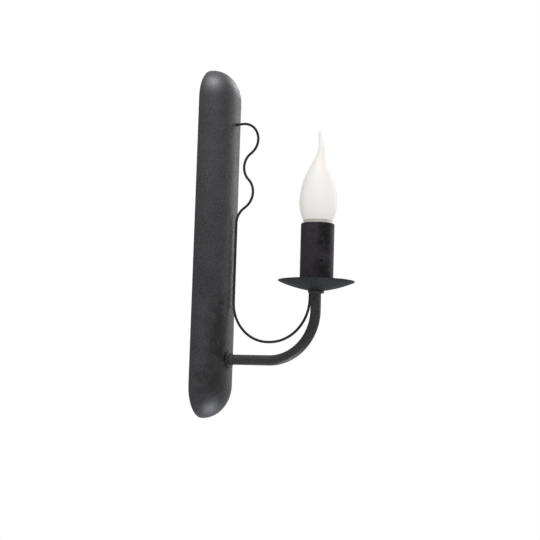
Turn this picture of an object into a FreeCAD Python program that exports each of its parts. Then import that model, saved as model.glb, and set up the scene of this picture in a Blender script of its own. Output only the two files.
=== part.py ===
import FreeCAD, Part
import Sketcher
import math
import os
import re

# A wall sconce in the shape of a torch: a tall half-round steel plate, a bent tube arm that carries a drip
# pan, a candle sleeve with its lampholder and a flame-shaped bulb, and a thin wire bent into two waves and a
# loop.
#
# The frame: +Z is up, the wall is the plane y = 0 and the sconce stands out of it towards -Y.
# The origin is the middle of the plate's open back, halfway between its two keyholes.

doc = FreeCAD.newDocument("torch_sconce")
sheet = doc.addObject("Spreadsheet::Sheet", "Dim")

# Driving dimensions in millimetres: the name, the size and what it measures.
SIZES = [
    # The wall plate and its bars
    ("plate_height", 350, "wall plate, tip to tip"),
    ("plate_radius", 28.5, "outer radius of the half-round plate, so also how far it stands off the wall"),
    ("plate_wall", 1.5, "sheet thickness of the plate"),
    ("plate_dome", 32.7, "length of each domed end"),
    ("keyhole_spacing", 160, "between the two keyholes that the plate hangs on"),
    ("keyhole_entry", 4, "radius of the keyhole's round entry"),
    ("keyhole_slot", 4.5, "width of the keyhole's slot"),
    ("keyhole_rise", 8, "from the entry's centre up to the centre of the slot's round end"),
    ("hanger_height", 24, "height of a hanger bar"),
    ("hanger_gauge", 2, "thickness of a hanger bar"),
    ("bar_fit", 0.1, "clearance between a bar's ends and the inside of the plate"),
    ("deck_height", 40, "height of the bar that carries the terminals"),
    ("deck_gauge", 1.5, "its thickness"),
    ("deck_drop", 7, "its centre below the middle of the plate"),
    ("deck_depth", 18.5, "that bar's wall side, from the wall"),
    # Clearances and cuts that several pieces share
    ("hole_fit", 0.1, "clearance round a tube or wire in its hole, on the radius"),
    ("thread_fit", 0.05, "clearance of a plain bore round the arm's thread, on the radius"),
    ("seat_gap", 0.05, "air between the sleeve's lower edge and the pan"),
    ("slot_width", 0.6, "width of a screwdriver slot"),
    ("slot_depth", 0.7, "depth of a screwdriver slot"),
    ("screw_head_height", 2, "height of a slotted screw's head"),
    # The terminal block and the earth terminal
    ("block_width", 22, "terminal block across"),
    ("block_length", 20, "terminal block along its leads"),
    ("block_depth", 15, "terminal block from the deck towards the wall"),
    ("block_drop", 8, "terminal block's centre below the centre of the bar that carries it"),
    ("pole_pitch", 10, "between the two poles"),
    ("clamp_radius", 2.6, "outer radius of a brass clamp tube"),
    ("clamp_bore", 1.3, "its bore"),
    ("clamp_length", 16, "its length"),
    ("screw_radius", 1.25, "clamp screw"),
    ("screw_pitch", 9, "between the two screws of a pole"),
    ("screw_sunk", 1.5, "clamp screws below the face they go in by"),
    ("well_fit", 0.4, "clearance round a screw or its head in the block, on the radius"),
    ("block_screw_radius", 1.5, "screw that holds the block"),
    ("screw_head", 2.8, "radius of the block screw's head"),
    ("screw_head_sunk", 1, "block screw's head below the block's face"),
    ("earth_radius", 2, "earth screw"),
    ("earth_head", 3.8, "radius of the earth screw's head"),
    ("earth_length", 10, "length of the earth screw, with its head"),
    ("earth_level", 17, "earth screw above the block's centre"),
    ("earth_flats", 7, "across the flats of the earth nut"),
    ("earth_nut_height", 3.2, "its height"),
    ("earth_washer_radius", 4.5, "washer under the earth nut"),
    ("earth_washer_gauge", 0.8, "its thickness"),
    # The arm and what holds it
    ("arm_radius", 5, "outer radius of the arm tube"),
    ("arm_wall", 1, "wall of the arm tube"),
    ("arm_root_inset", 58, "arm's level run above the plate's lower tip"),
    ("arm_reach", 120, "candle's axis from the wall"),
    ("arm_bend", 48, "bend radius of the arm's centre line"),
    ("arm_tail", 20.5, "arm's inner end from the wall"),
    ("washer_radius", 8.25, "washer between the plate and the arm"),
    ("washer_gauge", 1.2, "its thickness"),
    ("lock_radius", 8, "toothed washer inside the plate"),
    ("lock_gauge", 0.8, "its thickness"),
    ("lock_teeth", 16, "number of teeth on that washer"),
    ("lock_notch", 0.9, "radius of the notches between the lock washer's teeth"),
    ("nut_flats", 14, "across the flats of the nuts on the arm"),
    ("arm_nut_height", 4, "nut that holds the arm in the plate"),
    ("bush_wall", 0.9, "wall of the insulating bush in the arm's inner end"),
    ("bush_depth", 5, "how far the bush reaches into the arm"),
    ("bush_flange", 1, "thickness of the bush's flange"),
    # The scroll wire
    ("wire_radius", 1.25, "radius of the scroll wire"),
    ("scroll_entry_inset", 57.5, "scroll wire's entry below the plate's upper tip"),
    ("scroll_tail", 24.5, "scroll wire's inner end from the wall"),
    ("first_wave_reach", 24.5, "top wave's peak beyond the plate's crest, on the wire's centre line"),
    ("first_wave_bend", 16.7, "radius of the top wave where it turns down"),
    ("dip_reach", 9.6, "dip between the waves, beyond the crest"),
    ("dip_drop", 43.9, "dip below the entry"),
    ("second_wave_reach", 20.4, "second wave's peak beyond the crest"),
    ("second_wave_drop", 69.3, "second wave's peak below the entry"),
    ("run_gap", 1.6, "air between the wire's straight run and the crest"),
    ("run_drop", 100, "start of the straight run below the entry"),
    ("loop_flat", 1.75, "level stretch at the bottom of the wire's loop"),
    ("loop_lean", 3, "how much larger the loop's bend is on the arm's side than on the plate's"),
    ("scroll_rise", 4.7, "straight stretch at the wire's end, along the arm"),
    ("tack_gap", 0.05, "clearance where the wire lies along the arm"),
    ("scroll_end_gap", 0.2, "wire's end below the collar"),
    # The leads
    ("lead_radius", 0.9, "radius of an insulated lead"),
    ("lead_apart", 1.2, "each lead's offset from the arm's centre line"),
    ("lead_turn", 8, "bend radius of the leads where they enter the arm"),
    ("lead_join", 45, "leads start to close up this far above the arm's level run"),
    ("lead_join_run", 12, "height over which they close up"),
    ("lead_join_bend", 20, "bend radius there"),
    ("splay_start", 1.2, "leads spread apart from here above the arm's upper end"),
    ("splay_rise", 3, "height over which they spread"),
    ("splay_bend", 4, "bend radius there"),
    ("lead_grip", 4, "how far a lead reaches into its terminal in the lampholder"),
    # The drip pan, its collar and the candle sleeve
    ("pan_above_root", 67, "underside of the pan's middle above the arm's level run"),
    ("pan_radius", 36.5, "drip pan's rim"),
    ("pan_flat", 9, "radius of the pan's flat middle"),
    ("pan_rise", 8.3, "pan's rim above its middle"),
    ("pan_bow", 0.85, "how far the pan's slope bows below a straight line"),
    ("pan_gauge", 0.8, "sheet thickness of the pan"),
    ("collar_radius", 7.75, "round collar under the pan"),
    ("collar_height", 2.7, "its height"),
    ("collar_edge", 0.5, "its bevelled edge"),
    ("pan_nut_height", 3, "nut that clamps the pan"),
    ("sleeve_radius", 16, "outer radius of the candle sleeve"),
    ("sleeve_wall", 1, "wall of the candle sleeve"),
    ("sleeve_top", 63.3, "sleeve's upper edge above the pan's underside"),
    ("grub_radius", 1.25, "screw that holds the sleeve"),
    ("grub_level", 27, "that screw above the pan's underside"),
    ("grub_angle", 220, "its direction round the candle's axis, in degrees from +X"),
    ("grub_sunk", 0.5, "how far its outer end lies below the sleeve's surface"),
    ("grub_fit", 0.05, "clearance round that screw and at its tip"),
    ("grub_length", 2.7, "length of that screw"),
    ("grub_socket", 1.3, "across the flats of its socket"),
    ("grub_socket_depth", 1.35, "depth of its socket"),
    # The lampholder
    ("holder_radius", 14, "outer radius of the lampholder"),
    ("holder_wall", 1.6, "wall of its outer shell"),
    ("holder_height", 50.2, "its outer shell's height"),
    ("holder_floor", 3, "thickness of its floor"),
    ("holder_thread", 7, "how far the arm screws into the lampholder"),
    ("boss_radius", 7.5, "boss round that thread"),
    ("core_fit", 0.1, "clearance between the lampholder's shell and core, on the radius"),
    ("core_flange", 1.5, "thickness of the core's flange on the shell's rim"),
    ("core_foot", 18.5, "underside of the core above the lampholder's base"),
    ("core_floor", 3.5, "thickness of the core's floor"),
    ("contact_level", 25.1, "top of the spring contact above the lampholder's base"),
    ("contact_gauge", 0.4, "thickness of the contact strips"),
    ("contact_width", 4, "width of the contact strips"),
    ("tongue_foot", 3.4, "half the length of the contact's raised tongue, at its foot"),
    ("tongue_flat", 1.4, "half the length of its flat top"),
    ("leg_rise", 1, "contact legs end this far above the terminals' lower face"),
    ("shell_radius", 7.5, "outer radius of the lampholder's screw shell"),
    ("shell_gauge", 0.3, "its sheet thickness"),
    ("shell_foot", 30.5, "lower edge of the screw shell above the lampholder's base"),
    ("chamber_radius", 5.6, "chamber under the screw shell"),
    ("brass_width", 5, "width of a terminal in the lampholder"),
    ("brass_height", 5.5, "its height"),
    ("brass_depth", 7, "its depth"),
    ("brass_bore", 1.1, "radius of the hole that takes the lead"),
    # The bulb
    ("glass_radius", 18.15, "widest radius of the flame-shaped glass"),
    ("glass_height", 86.2, "glass from its collar to its tip"),
    ("glass_wall", 1, "thickness of the glass"),
    ("glass_neck", 4.5, "radius above which the flame is hollow; the drawn tip is solid glass"),
    ("flame_lean", 2.1, "how far the flame's tip leans out before it turns back"),
    ("bulb_collar_radius", 14.1, "collar under the glass"),
    ("bulb_collar_height", 11.8, "its height"),
    ("bulb_collar_band", 3, "straight band at the collar's upper end"),
    ("bulb_collar_wall", 1.3, "its wall"),
    ("bulb_neck_radius", 8.2, "its lower end, on the cap's rim"),
    ("bulb_neck_height", 1.5, "height of that end"),
    ("cap_length", 27, "bulb's cap, from its rim to the contact's tip"),
    ("cap_foot", 18.5, "lower edge of the cap's sheet below its rim"),
    ("cap_crest", 6.95, "crest radius of the cap's thread"),
    ("cap_thread_depth", 0.6, "depth of that thread"),
    ("cap_pitch", 2.82, "pitch of that thread"),
    ("cap_turns", 6, "turns of that thread"),
    ("cap_edge", 0.6, "plain edge below the cap's first turn"),
    ("cap_wall", 0.4, "sheet thickness of the cap"),
    ("tip_radius", 2.4, "bulb's end contact"),
    ("tip_height", 2.5, "its height"),
    ("tip_round", 1.2, "rounding of the end contact's edge"),
    ("tip_rim", 0.4, "insulator beyond the end contact, on the radius"),
    ("touch_gap", 0.1, "air between the bulb's tip and the spring contact"),
    ("led_disc_radius", 12.5, "board that carries the light sources"),
    ("led_disc_gauge", 1.6, "that board's thickness"),
    ("led_count", 8, "number of light sources on it"),
    ("led_circle", 8, "radius of the circle they stand on"),
    ("led_size", 2.8, "edge of a light source"),
    ("led_height", 0.8, "its height"),
    ("driver_width", 9, "driver board across"),
    ("driver_height", 20, "driver board's height"),
    ("driver_gauge", 1, "driver board's thickness"),
]

for row, (alias, value, meaning) in enumerate(SIZES, start=1):
    sheet.set(f"A{row}", meaning)
    sheet.set(f"B{row}", str(value))
    sheet.setAlias(f"B{row}", alias)
doc.recompute()
NAMES = {alias for alias, value, meaning in SIZES}


# ---------------------------------------------------------------- expressions


def bound(text):
    """The expression with every size's name pointing at its cell."""

    def cell(word):
        return f"Dim.{word.group()}" if word.group() in NAMES else word.group()

    return re.sub(r"[a-z_]+", cell, text)


def number(text):
    """What an expression comes to, in millimetres or degrees."""
    return float(sheet.evalExpression(bound(text)))


# Levels that several pieces share.
ARM_LEVEL = "(arm_root_inset - plate_height / 2)"
ENTRY_LEVEL = "(plate_height / 2 - scroll_entry_inset)"
PAN_UNDER = f"({ARM_LEVEL} + pan_above_root)"
PAN_FLOOR = f"({PAN_UNDER} + pan_gauge)"
COLLAR_FOOT = f"({PAN_UNDER} - collar_height)"
HOLDER_BASE = f"({PAN_FLOOR} + pan_nut_height)"
ARM_TOP = f"({HOLDER_BASE} + holder_thread)"
BULB_TIP = f"({HOLDER_BASE} + contact_level + touch_gap)"
CAP_RIM = f"({BULB_TIP} + cap_length)"
CAP_FOOT = f"({CAP_RIM} - cap_foot)"
GLASS_FOOT = f"({CAP_RIM} + bulb_collar_height)"
DECK_LEVEL = "(0 - deck_drop)"
BLOCK_LEVEL = f"({DECK_LEVEL} - block_drop)"

# Depths in the plate, as distances from the wall.
PLATE_INSIDE = "(plate_radius - plate_wall)"
LOCK_SEAT = f"(sqrt({PLATE_INSIDE}^2 - lock_radius^2) - seat_gap)"
NUT_SEAT = f"({LOCK_SEAT} - lock_gauge)"
LEAD_DEPTH = "(arm_tail - bush_flange - lead_turn)"
DECK_FRONT = "(deck_depth + deck_gauge)"
BLOCK_BACK = "(deck_depth - block_depth)"

# The candle's own axis, and radii and heights in the lampholder.
CANDLE_Y = "(0 - arm_reach)"
THREAD_BORE = "(arm_radius + thread_fit)"
CORE_RADIUS = "(holder_radius - holder_wall - core_fit)"
SHELL_BORE = "(shell_radius - shell_gauge)"
BRASS_MIDDLE = f"({SHELL_BORE} - hole_fit - brass_width / 2)"
BRASS_FOOT = "(core_foot - brass_height)"
CHAMBER_FLOOR = "(core_foot + core_floor)"
LEG_FOOT = f"({BRASS_FOOT} + leg_rise)"

# The bulb's cap between its crests, outside and inside.
CAP_ROOT = "(cap_crest - cap_thread_depth)"
CAP_INSIDE = f"({CAP_ROOT} - cap_wall)"

# The pan's slope is an arc from the edge of its flat middle to its rim.
PAN_CHORD = "sqrt((pan_radius - pan_flat)^2 + pan_rise^2)"
PAN_CURVE = f"({PAN_CHORD}^2 / (8 * pan_bow) + pan_bow / 2)"
PAN_LIFT = f"(({PAN_CURVE} - pan_bow) / {PAN_CHORD})"
PAN_CENTRE_OUT = f"((pan_flat + pan_radius) / 2 - pan_rise * {PAN_LIFT})"
PAN_CENTRE_UP = f"(pan_rise / 2 + (pan_radius - pan_flat) * {PAN_LIFT})"
SLEEVE_SLOPE = f"({PAN_CENTRE_UP} - sqrt({PAN_CURVE}^2 - (sleeve_radius - {PAN_CENTRE_OUT})^2))"
SLEEVE_SEAT = f"({PAN_FLOOR} + {SLEEVE_SLOPE} + seat_gap)"


# ---------------------------------------------------------------- building blocks

X_AXIS = FreeCAD.Vector(1, 0, 0)
Y_AXIS = FreeCAD.Vector(0, 1, 0)
Z_AXIS = FreeCAD.Vector(0, 0, 1)
GRUB_TURN = FreeCAD.Rotation(Z_AXIS, number("grub_angle")).multiply(FreeCAD.Rotation(Y_AXIS, 90))
TURNS = {
    "up": FreeCAD.Rotation(),
    "out": FreeCAD.Rotation(X_AXIS, 90),
    "back": FreeCAD.Rotation(X_AXIS, -90),
    "grub": GRUB_TURN,
}
OVERSHOOT = "1"
PIECES = []


def piece(shape, label):
    """Names a finished sub-part and puts it on the list of what is kept."""
    shape.Label = label
    PIECES.append(shape)
    return shape


def bind(shape, **sizes):
    """Ties properties of a shape to expressions."""
    for name, text in sizes.items():
        shape.setExpression(name, bound(text))
    return shape


def place(shape, x="0", y="0", z="0"):
    """Ties a shape's position to expressions."""
    for axis, text in (("x", x), ("y", y), ("z", z)):
        shape.setExpression(f"Placement.Base.{axis}", bound(text))
    return shape


def ahead(x, y, z, along, distance):
    """The point that lies a distance further on, in the direction that a bar runs."""
    if along == "up":
        return x, y, f"({z}) + ({distance})"
    if along == "out":
        return x, f"({y}) - ({distance})", z
    return x, f"({y}) + ({distance})", z


def rod(name, radius, length, x="0", y="0", z="0", along="up"):
    """A plain round bar that starts at x, y, z."""
    bar = doc.addObject("Part::Cylinder", name)
    bar.Placement.Rotation = TURNS[along]
    bind(bar, Radius=radius, Height=length)
    return place(bar, x, y, z)


def drill(name, radius, length, x="0", y="0", z="0", along="up"):
    """A rod that overshoots both ends of the wall it is to pierce."""
    start = ahead(x, y, z, along, f"0 - {OVERSHOOT}")
    return rod(name, radius, f"({length}) + 2 * {OVERSHOOT}", *start, along)


def box(name, width, depth, height, x="0", y="0", z="0"):
    """A plain block: x is its middle, y its wall side and z its foot."""
    shape = doc.addObject("Part::Box", name)
    bind(shape, Length=width, Width=depth, Height=height)
    return place(shape, f"({x}) - ({width}) / 2", f"({y}) - ({depth})", z)


def hexagon(name, flats, height, x="0", y="0", z="0", along="up"):
    """A hexagonal bar, sized across its flats."""
    bar = doc.addObject("Part::Prism", name)
    bar.Polygon = 6
    bar.Placement.Rotation = TURNS[along]
    bind(bar, Circumradius=f"({flats}) / sqrt(3)", Height=height)
    return place(bar, x, y, z)


def fuse(name, *shapes):
    whole = doc.addObject("Part::MultiFuse", name)
    whole.Shapes = list(shapes)
    return whole


def cut(name, base, *tools):
    whole = doc.addObject("Part::Cut", name)
    whole.Base = base
    whole.Tool = tools[0] if len(tools) == 1 else fuse(f"{name}_tools", *tools)
    return whole


def common(name, base, tool):
    whole = doc.addObject("Part::Common", name)
    whole.Base = base
    whole.Tool = tool
    return whole


def group(label, *shapes):
    """Identical pieces that share one node, each a solid of its own."""
    together = doc.addObject("Part::Compound", f"{label}_group")
    together.Links = list(shapes)
    return piece(together, label)


def tube(name, outer, inner, length, x="0", y="0", z="0", along="up"):
    """A straight tube or a plain washer."""
    wall = rod(f"{name}_outside", outer, length, x, y, z, along)
    return cut(f"{name}_wall", wall, drill(f"{name}_bore", inner, length, x, y, z, along))


def nut(label, flats, height, bore, x="0", y="0", z="0", along="up"):
    """A hexagon nut whose plain bore clears the thread it runs on."""
    body = hexagon(f"{label}_hexagon", flats, height, x, y, z, along)
    hole = drill(f"{label}_bore", bore, height, x, y, z, along)
    return piece(cut(f"{label}_body", body, hole), label)


def slot(name, radius, x, y, z, along):
    """The cutter for a screwdriver slot, level and across the start of a screw of that radius."""
    wall_side = {"out": OVERSHOOT, "back": "slot_depth"}[along]
    start = (x, f"({y}) + {wall_side}", f"({z}) - slot_width / 2")
    return box(name, f"2 * ({radius} + {OVERSHOOT})", f"slot_depth + {OVERSHOOT}", "slot_width", *start)


def headed_screw(name, head, shank, length, x, y, z, along):
    """A screw with a slotted head that starts at x, y, z; length is the whole of it."""
    top = rod(f"{name}_head", head, "screw_head_height", x, y, z, along)
    stem = rod(f"{name}_shank", shank, length, x, y, z, along)
    blank = fuse(f"{name}_blank", top, stem)
    return piece(cut(f"{name}_body", blank, slot(f"{name}_slot", head, x, y, z, along)), name)


def clamp_screw(name, length, x, y, z, along):
    """A headless screw with a slot in its outer end, which starts at x, y, z."""
    stem = rod(f"{name}_stem", "screw_radius", length, x, y, z, along)
    return cut(f"{name}_body", stem, slot(f"{name}_slot", "screw_radius", x, y, z, along))


def origin_plane(body, role):
    """One of a body's own origin planes."""
    return next(feature for feature in body.Origin.OriginFeatures if feature.Role == role)


def pin_down(sketch, end, across, up):
    """Fixes one end of a line or arc at a pair of expressions, measured from the sketch's origin."""
    for kind, text in (("DistanceX", across), ("DistanceY", up)):
        value = number(text)
        order = (*end, -1, 1) if value < 0 else (-1, 1, *end)
        index = sketch.addConstraint(Sketcher.Constraint(kind, *order, abs(value)))
        sketch.setExpression(f"Constraints[{index}]", bound(f"0 - ({text})" if value < 0 else text))


def outline(sketch, corners):
    """Draws a closed outline. A corner is (across, up), or (across, up, bow) where an arc leaves it that
    bulges to the left by its bow, or to the right where the bow starts with a minus sign."""
    flat = [FreeCAD.Vector(number(corner[0]), number(corner[1]), 0) for corner in corners]
    starts = []
    ends = []
    for index, corner in enumerate(corners):
        here = flat[index]
        there = flat[(index + 1) % len(flat)]
        if len(corner) == 2:
            edge = sketch.addGeometry(Part.LineSegment(here, there), False)
            starts.append((edge, 1))
            ends.append((edge, 2))
            continue
        run = there - here
        left = FreeCAD.Vector(-run.y, run.x, 0).normalize()
        middle = (here + there) * 0.5 + left * number(corner[2])
        edge = sketch.addGeometry(Part.Arc(here, middle, there), False)
        first, last = (sketch.getPoint(edge, point).distanceToPoint(here) for point in (1, 2))
        starts.append((edge, 1 if first < last else 2))
        ends.append((edge, 2 if first < last else 1))
    for index, corner in enumerate(corners):
        pin_down(sketch, starts[index], corner[0], corner[1])
        sketch.addConstraint(Sketcher.Constraint("Coincident", *ends[index - 1], *starts[index]))
    for index, corner in enumerate(corners):
        if len(corner) == 3:
            after = corners[(index + 1) % len(corners)]
            bow = corner[2].lstrip("-")
            chord = f"((({after[0]}) - ({corner[0]}))^2 + (({after[1]}) - ({corner[1]}))^2)"
            text = f"{chord} / (8 * ({bow})) + ({bow}) / 2"
            curve = sketch.addConstraint(Sketcher.Constraint("Radius", starts[index][0], number(text)))
            sketch.setExpression(f"Constraints[{curve}]", bound(text))


def sketched_body(label, corners):
    """A body with a closed outline in its own upright plane, across and up."""
    body = doc.addObject("PartDesign::Body", f"{label}_body")
    sketch = body.newObject("Sketcher::SketchObject", f"{label}_outline")
    sketch.AttachmentSupport = (origin_plane(body, "XZ_Plane"), [""])
    sketch.MapMode = "FlatFace"
    outline(sketch, corners)
    return body, sketch


def turned(label, corners, y, z):
    """A round piece: the outline, as radius and height, turned about the body's own upright axis."""
    body, sketch = sketched_body(label, corners)
    turn = body.newObject("PartDesign::Revolution", f"{label}_turn")
    turn.Profile = sketch
    turn.ReferenceAxis = (sketch, ["V_Axis"])
    turn.Angle = 360
    place(body, "0", y, z)
    return body


def strip(label, corners, width, y, z):
    """A flat strip bent to the outline and as wide as given, half on each side of its plane."""
    body, sketch = sketched_body(label, corners)
    pad = body.newObject("PartDesign::Pad", f"{label}_pad")
    pad.Profile = sketch
    pad.SideType = "Symmetric"
    bind(pad, Length=width)
    place(body, "0", y, z)
    return body


def route(name, edges):
    """A path for a sweep, kept in the document as a wire."""
    path = doc.addObject("Part::Feature", name)
    path.Shape = Part.Wire(edges)
    return path


def bent_edges(corners):
    """Straight runs through the corners (x, y, z, bend radius), with a tangent arc at each inner corner."""
    points = [FreeCAD.Vector(*(number(text) for text in corner[:3])) for corner in corners]
    edges = []
    last = points[0]
    for index in range(1, len(points) - 1):
        corner = points[index]
        before = (points[index - 1] - corner).normalize()
        after = (points[index + 1] - corner).normalize()
        half = before.getAngle(after) / 2
        bend = number(corners[index][3])
        reach = bend / math.tan(half)
        start = corner + before * reach
        end = corner + after * reach
        inward = (before + after).normalize()
        middle = corner + inward * (bend / math.sin(half) - bend)
        edges.append(Part.LineSegment(last, start).toShape())
        edges.append(Part.Arc(start, middle, end).toShape())
        last = end
    edges.append(Part.LineSegment(last, points[-1]).toShape())
    return edges


def swept(name, path, radius, x, y, z, along):
    """A round wire or bar of one radius along a path that starts at x, y, z."""
    ring = doc.addObject("Part::Circle", f"{name}_section")
    ring.Placement.Rotation = TURNS[along]
    bind(ring, Radius=radius)
    place(ring, x, y, z)
    sweep = doc.addObject("Part::Sweep", f"{name}_sweep")
    sweep.Sections = [ring]
    sweep.Spine = (path, [f"Edge{index}" for index in range(1, len(path.Shape.Edges) + 1)])
    sweep.Solid = True
    sweep.Frenet = False
    return sweep


# ---------------------------------------------------------------- wall plate


def quarter_ellipse(side, shoulder, tip):
    """From the side at the shoulder's height to the tip on the axis."""
    centre = FreeCAD.Vector(0, shoulder, 0)
    top = FreeCAD.Vector(0, tip, 0)
    edge = FreeCAD.Vector(side, shoulder, 0)
    slim = abs(tip - shoulder) >= side
    ellipse = Part.Ellipse(top, edge, centre) if slim else Part.Ellipse(edge, top, centre)
    quarter_turn = math.pi / 2
    starts = [index * quarter_turn for index in range(4)]
    quarters = [Part.ArcOfEllipse(ellipse, start, start + quarter_turn).toShape() for start in starts]
    wanted = FreeCAD.Vector(side, tip, 0)
    return min(quarters, key=lambda arc: arc.BoundBox.Center.distanceToPoint(wanted))


def straight(start, end):
    return Part.LineSegment(FreeCAD.Vector(*start, 0), FreeCAD.Vector(*end, 0)).toShape()


def plate_profile():
    """Half of the plate's long section: a straight run and a quarter ellipse at each end."""
    radius = number("plate_radius")
    wall = number("plate_wall")
    tip = number("plate_height / 2")
    shoulder = number("plate_height / 2 - plate_dome")
    edges = []
    for side, height in ((radius, tip), (radius - wall, tip - wall)):
        edges.append(quarter_ellipse(side, shoulder, height))
        edges.append(quarter_ellipse(side, -shoulder, -height))
        edges.append(straight((side, -shoulder), (side, shoulder)))
    edges.append(straight((0, tip - wall), (0, tip)))
    edges.append(straight((0, wall - tip), (0, -tip)))
    face = Part.Face(Part.Wire(Part.__sortEdges__(edges)))
    face.rotate(FreeCAD.Vector(0, 0, 0), X_AXIS, 90)
    return face


def wall_plate():
    profile = doc.addObject("Part::Feature", "plate_profile")
    profile.Shape = plate_profile()
    shell = doc.addObject("Part::Revolution", "plate_shell")
    shell.Source = profile
    shell.Base = FreeCAD.Vector(0, 0, 0)
    shell.Axis = FreeCAD.Vector(0, 0, -1)
    shell.Angle = 180
    shell.Solid = True
    start = f"0 - {PLATE_INSIDE}"
    wire_hole = drill("wire_hole", "wire_radius + hole_fit", "plate_wall", "0", start, ENTRY_LEVEL, "out")
    arm_hole = drill("arm_hole", "arm_radius + hole_fit", "plate_wall", "0", start, ARM_LEVEL, "out")
    return piece(cut("plate_body", shell, wire_hole, arm_hole), "wall_plate")


def cross_bar(name, height, gauge, depth, level):
    """A flat bar across the plate's hollow, its ends trimmed to the round inside."""
    foot = f"({level}) - ({height}) / 2"
    blank = box(f"{name}_blank", "2 * plate_radius", gauge, height, "0", f"0 - ({depth})", foot)
    hollow = drill(f"{name}_hollow", f"{PLATE_INSIDE} - bar_fit", height, "0", "0", foot)
    return common(f"{name}_bar", blank, hollow)


def hanger_bar(label, level):
    """A bar with a keyhole: the screw's head goes in at the entry and the slot drops over its neck."""
    bar = cross_bar(label, "hanger_height", "hanger_gauge", "0", level)
    entry = drill(f"{label}_entry", "keyhole_entry", "hanger_gauge", "0", "0", level, "out")
    depth = f"hanger_gauge + 2 * {OVERSHOOT}"
    neck = box(f"{label}_neck", "keyhole_slot", depth, "keyhole_rise", "0", OVERSHOOT, level)
    top = f"({level}) + keyhole_rise"
    end = drill(f"{label}_end", "keyhole_slot / 2", "hanger_gauge", "0", "0", top, "out")
    return piece(cut(f"{label}_body", bar, entry, neck, end), label)


# ---------------------------------------------------------------- terminals inside the plate


def terminal_deck():
    """The bar that carries the terminal block and the earth screw."""
    bar = cross_bar("deck", "deck_height", "deck_gauge", "deck_depth", DECK_LEVEL)
    screws = (("block", "block_screw_radius", BLOCK_LEVEL), ("earth", "earth_radius", EARTH_LEVEL))
    holes = []
    for name, radius, level in screws:
        start = ("0", "0 - deck_depth", level, "out")
        holes.append(drill(f"deck_{name}_hole", f"{radius} + hole_fit", "deck_gauge", *start))
    return piece(cut("deck_body", bar, *holes), "terminal_deck")


EARTH_LEVEL = f"({BLOCK_LEVEL} + earth_level)"
POLES = (("live", "0 - pole_pitch / 2"), ("neutral", "pole_pitch / 2"))
ROWS = (
    ("upper", f"{BLOCK_LEVEL} + screw_pitch / 2"),
    ("lower", f"{BLOCK_LEVEL} - screw_pitch / 2"),
)
LEAD_Y = f"(0 - {LEAD_DEPTH})"
CLAMP_FOOT = f"({BLOCK_LEVEL} - clamp_length / 2)"


def terminal_block():
    """The insulating housing: a bore for each brass clamp, a well over each of its screws, a fixing hole."""
    foot = f"{BLOCK_LEVEL} - block_length / 2"
    back = f"0 - {BLOCK_BACK}"
    housing = box("block_housing", "block_width", "block_depth", "block_length", "0", back, foot)
    well = f"{LEAD_DEPTH} - {BLOCK_BACK} + {OVERSHOOT}"
    tools = []
    for pole, x in POLES:
        tools.append(drill(f"block_{pole}_bore", "clamp_radius + hole_fit", "block_length", x, LEAD_Y, foot))
        for row, level in ROWS:
            start = ahead(x, back, level, "back", OVERSHOOT)
            tools.append(rod(f"block_{pole}_{row}_well", "screw_radius + well_fit", well, *start, "out"))
    fixing = "block_screw_radius + hole_fit"
    tools.append(drill("block_fixing", fixing, "block_depth", "0", back, BLOCK_LEVEL, "out"))
    recess = f"screw_head_sunk + screw_head_height + {OVERSHOOT}"
    start = ahead("0", back, BLOCK_LEVEL, "back", OVERSHOOT)
    tools.append(rod("block_recess", "screw_head + well_fit", recess, *start, "out"))
    return piece(cut("block_body", housing, *tools), "terminal_block")


def terminal_clamps():
    """The two brass tubes that join each house wire to its lead."""
    clamps = []
    for pole, x in POLES:
        blank = tube(f"clamp_{pole}", "clamp_radius", "clamp_bore", "clamp_length", x, LEAD_Y, CLAMP_FOOT)
        holes = []
        for row, level in ROWS:
            reach = f"clamp_radius + {OVERSHOOT}"
            start = ahead(x, LEAD_Y, level, "back", reach)
            holes.append(rod(f"clamp_{pole}_{row}", "screw_radius + hole_fit", reach, *start, "out"))
        clamps.append(cut(f"clamp_{pole}_body", blank, *holes))
    return group("terminal_clamps", *clamps)


def terminal_screws():
    """One screw on the house wire and one on the lead of each pole."""
    start = f"0 - {BLOCK_BACK} - screw_sunk"
    length = f"{LEAD_DEPTH} - {BLOCK_BACK} - screw_sunk - lead_radius - seat_gap"
    screws = []
    for pole, x in POLES:
        for row, level in ROWS:
            screws.append(clamp_screw(f"clamp_screw_{pole}_{row}", length, x, start, level, "out"))
    return group("terminal_screws", *screws)


def block_screw():
    start = f"0 - {BLOCK_BACK} - screw_head_sunk"
    length = f"block_depth - screw_head_sunk + deck_gauge + {OVERSHOOT}"
    headed_screw("block_screw", "screw_head", "block_screw_radius", length, "0", start, BLOCK_LEVEL, "out")


def earth_terminal():
    """The screw, washer and nut that take the house's earth wire."""
    head = ("0", f"0 - {DECK_FRONT} - screw_head_height", EARTH_LEVEL, "back")
    headed_screw("earth_screw", "earth_head", "earth_radius", "earth_length", *head)
    bore = "earth_radius + hole_fit"
    seat = ("0", "0 - deck_depth", EARTH_LEVEL, "back")
    piece(tube("earth_washer", "earth_washer_radius", bore, "earth_washer_gauge", *seat), "earth_washer")
    on_washer = ("0", "earth_washer_gauge - deck_depth", EARTH_LEVEL, "back")
    nut("earth_nut", "earth_flats", "earth_nut_height", "earth_radius + thread_fit", *on_washer)


# ---------------------------------------------------------------- arm


def arm_path(name, extra):
    """The arm's centre line: level, one bend and straight up; extra lengthens both ends."""
    corners = [
        ("0", f"({extra}) - arm_tail", ARM_LEVEL),
        ("0", CANDLE_Y, ARM_LEVEL, "arm_bend"),
        ("0", CANDLE_Y, f"{ARM_TOP} + ({extra})"),
    ]
    return route(name, bent_edges(corners))


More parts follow.
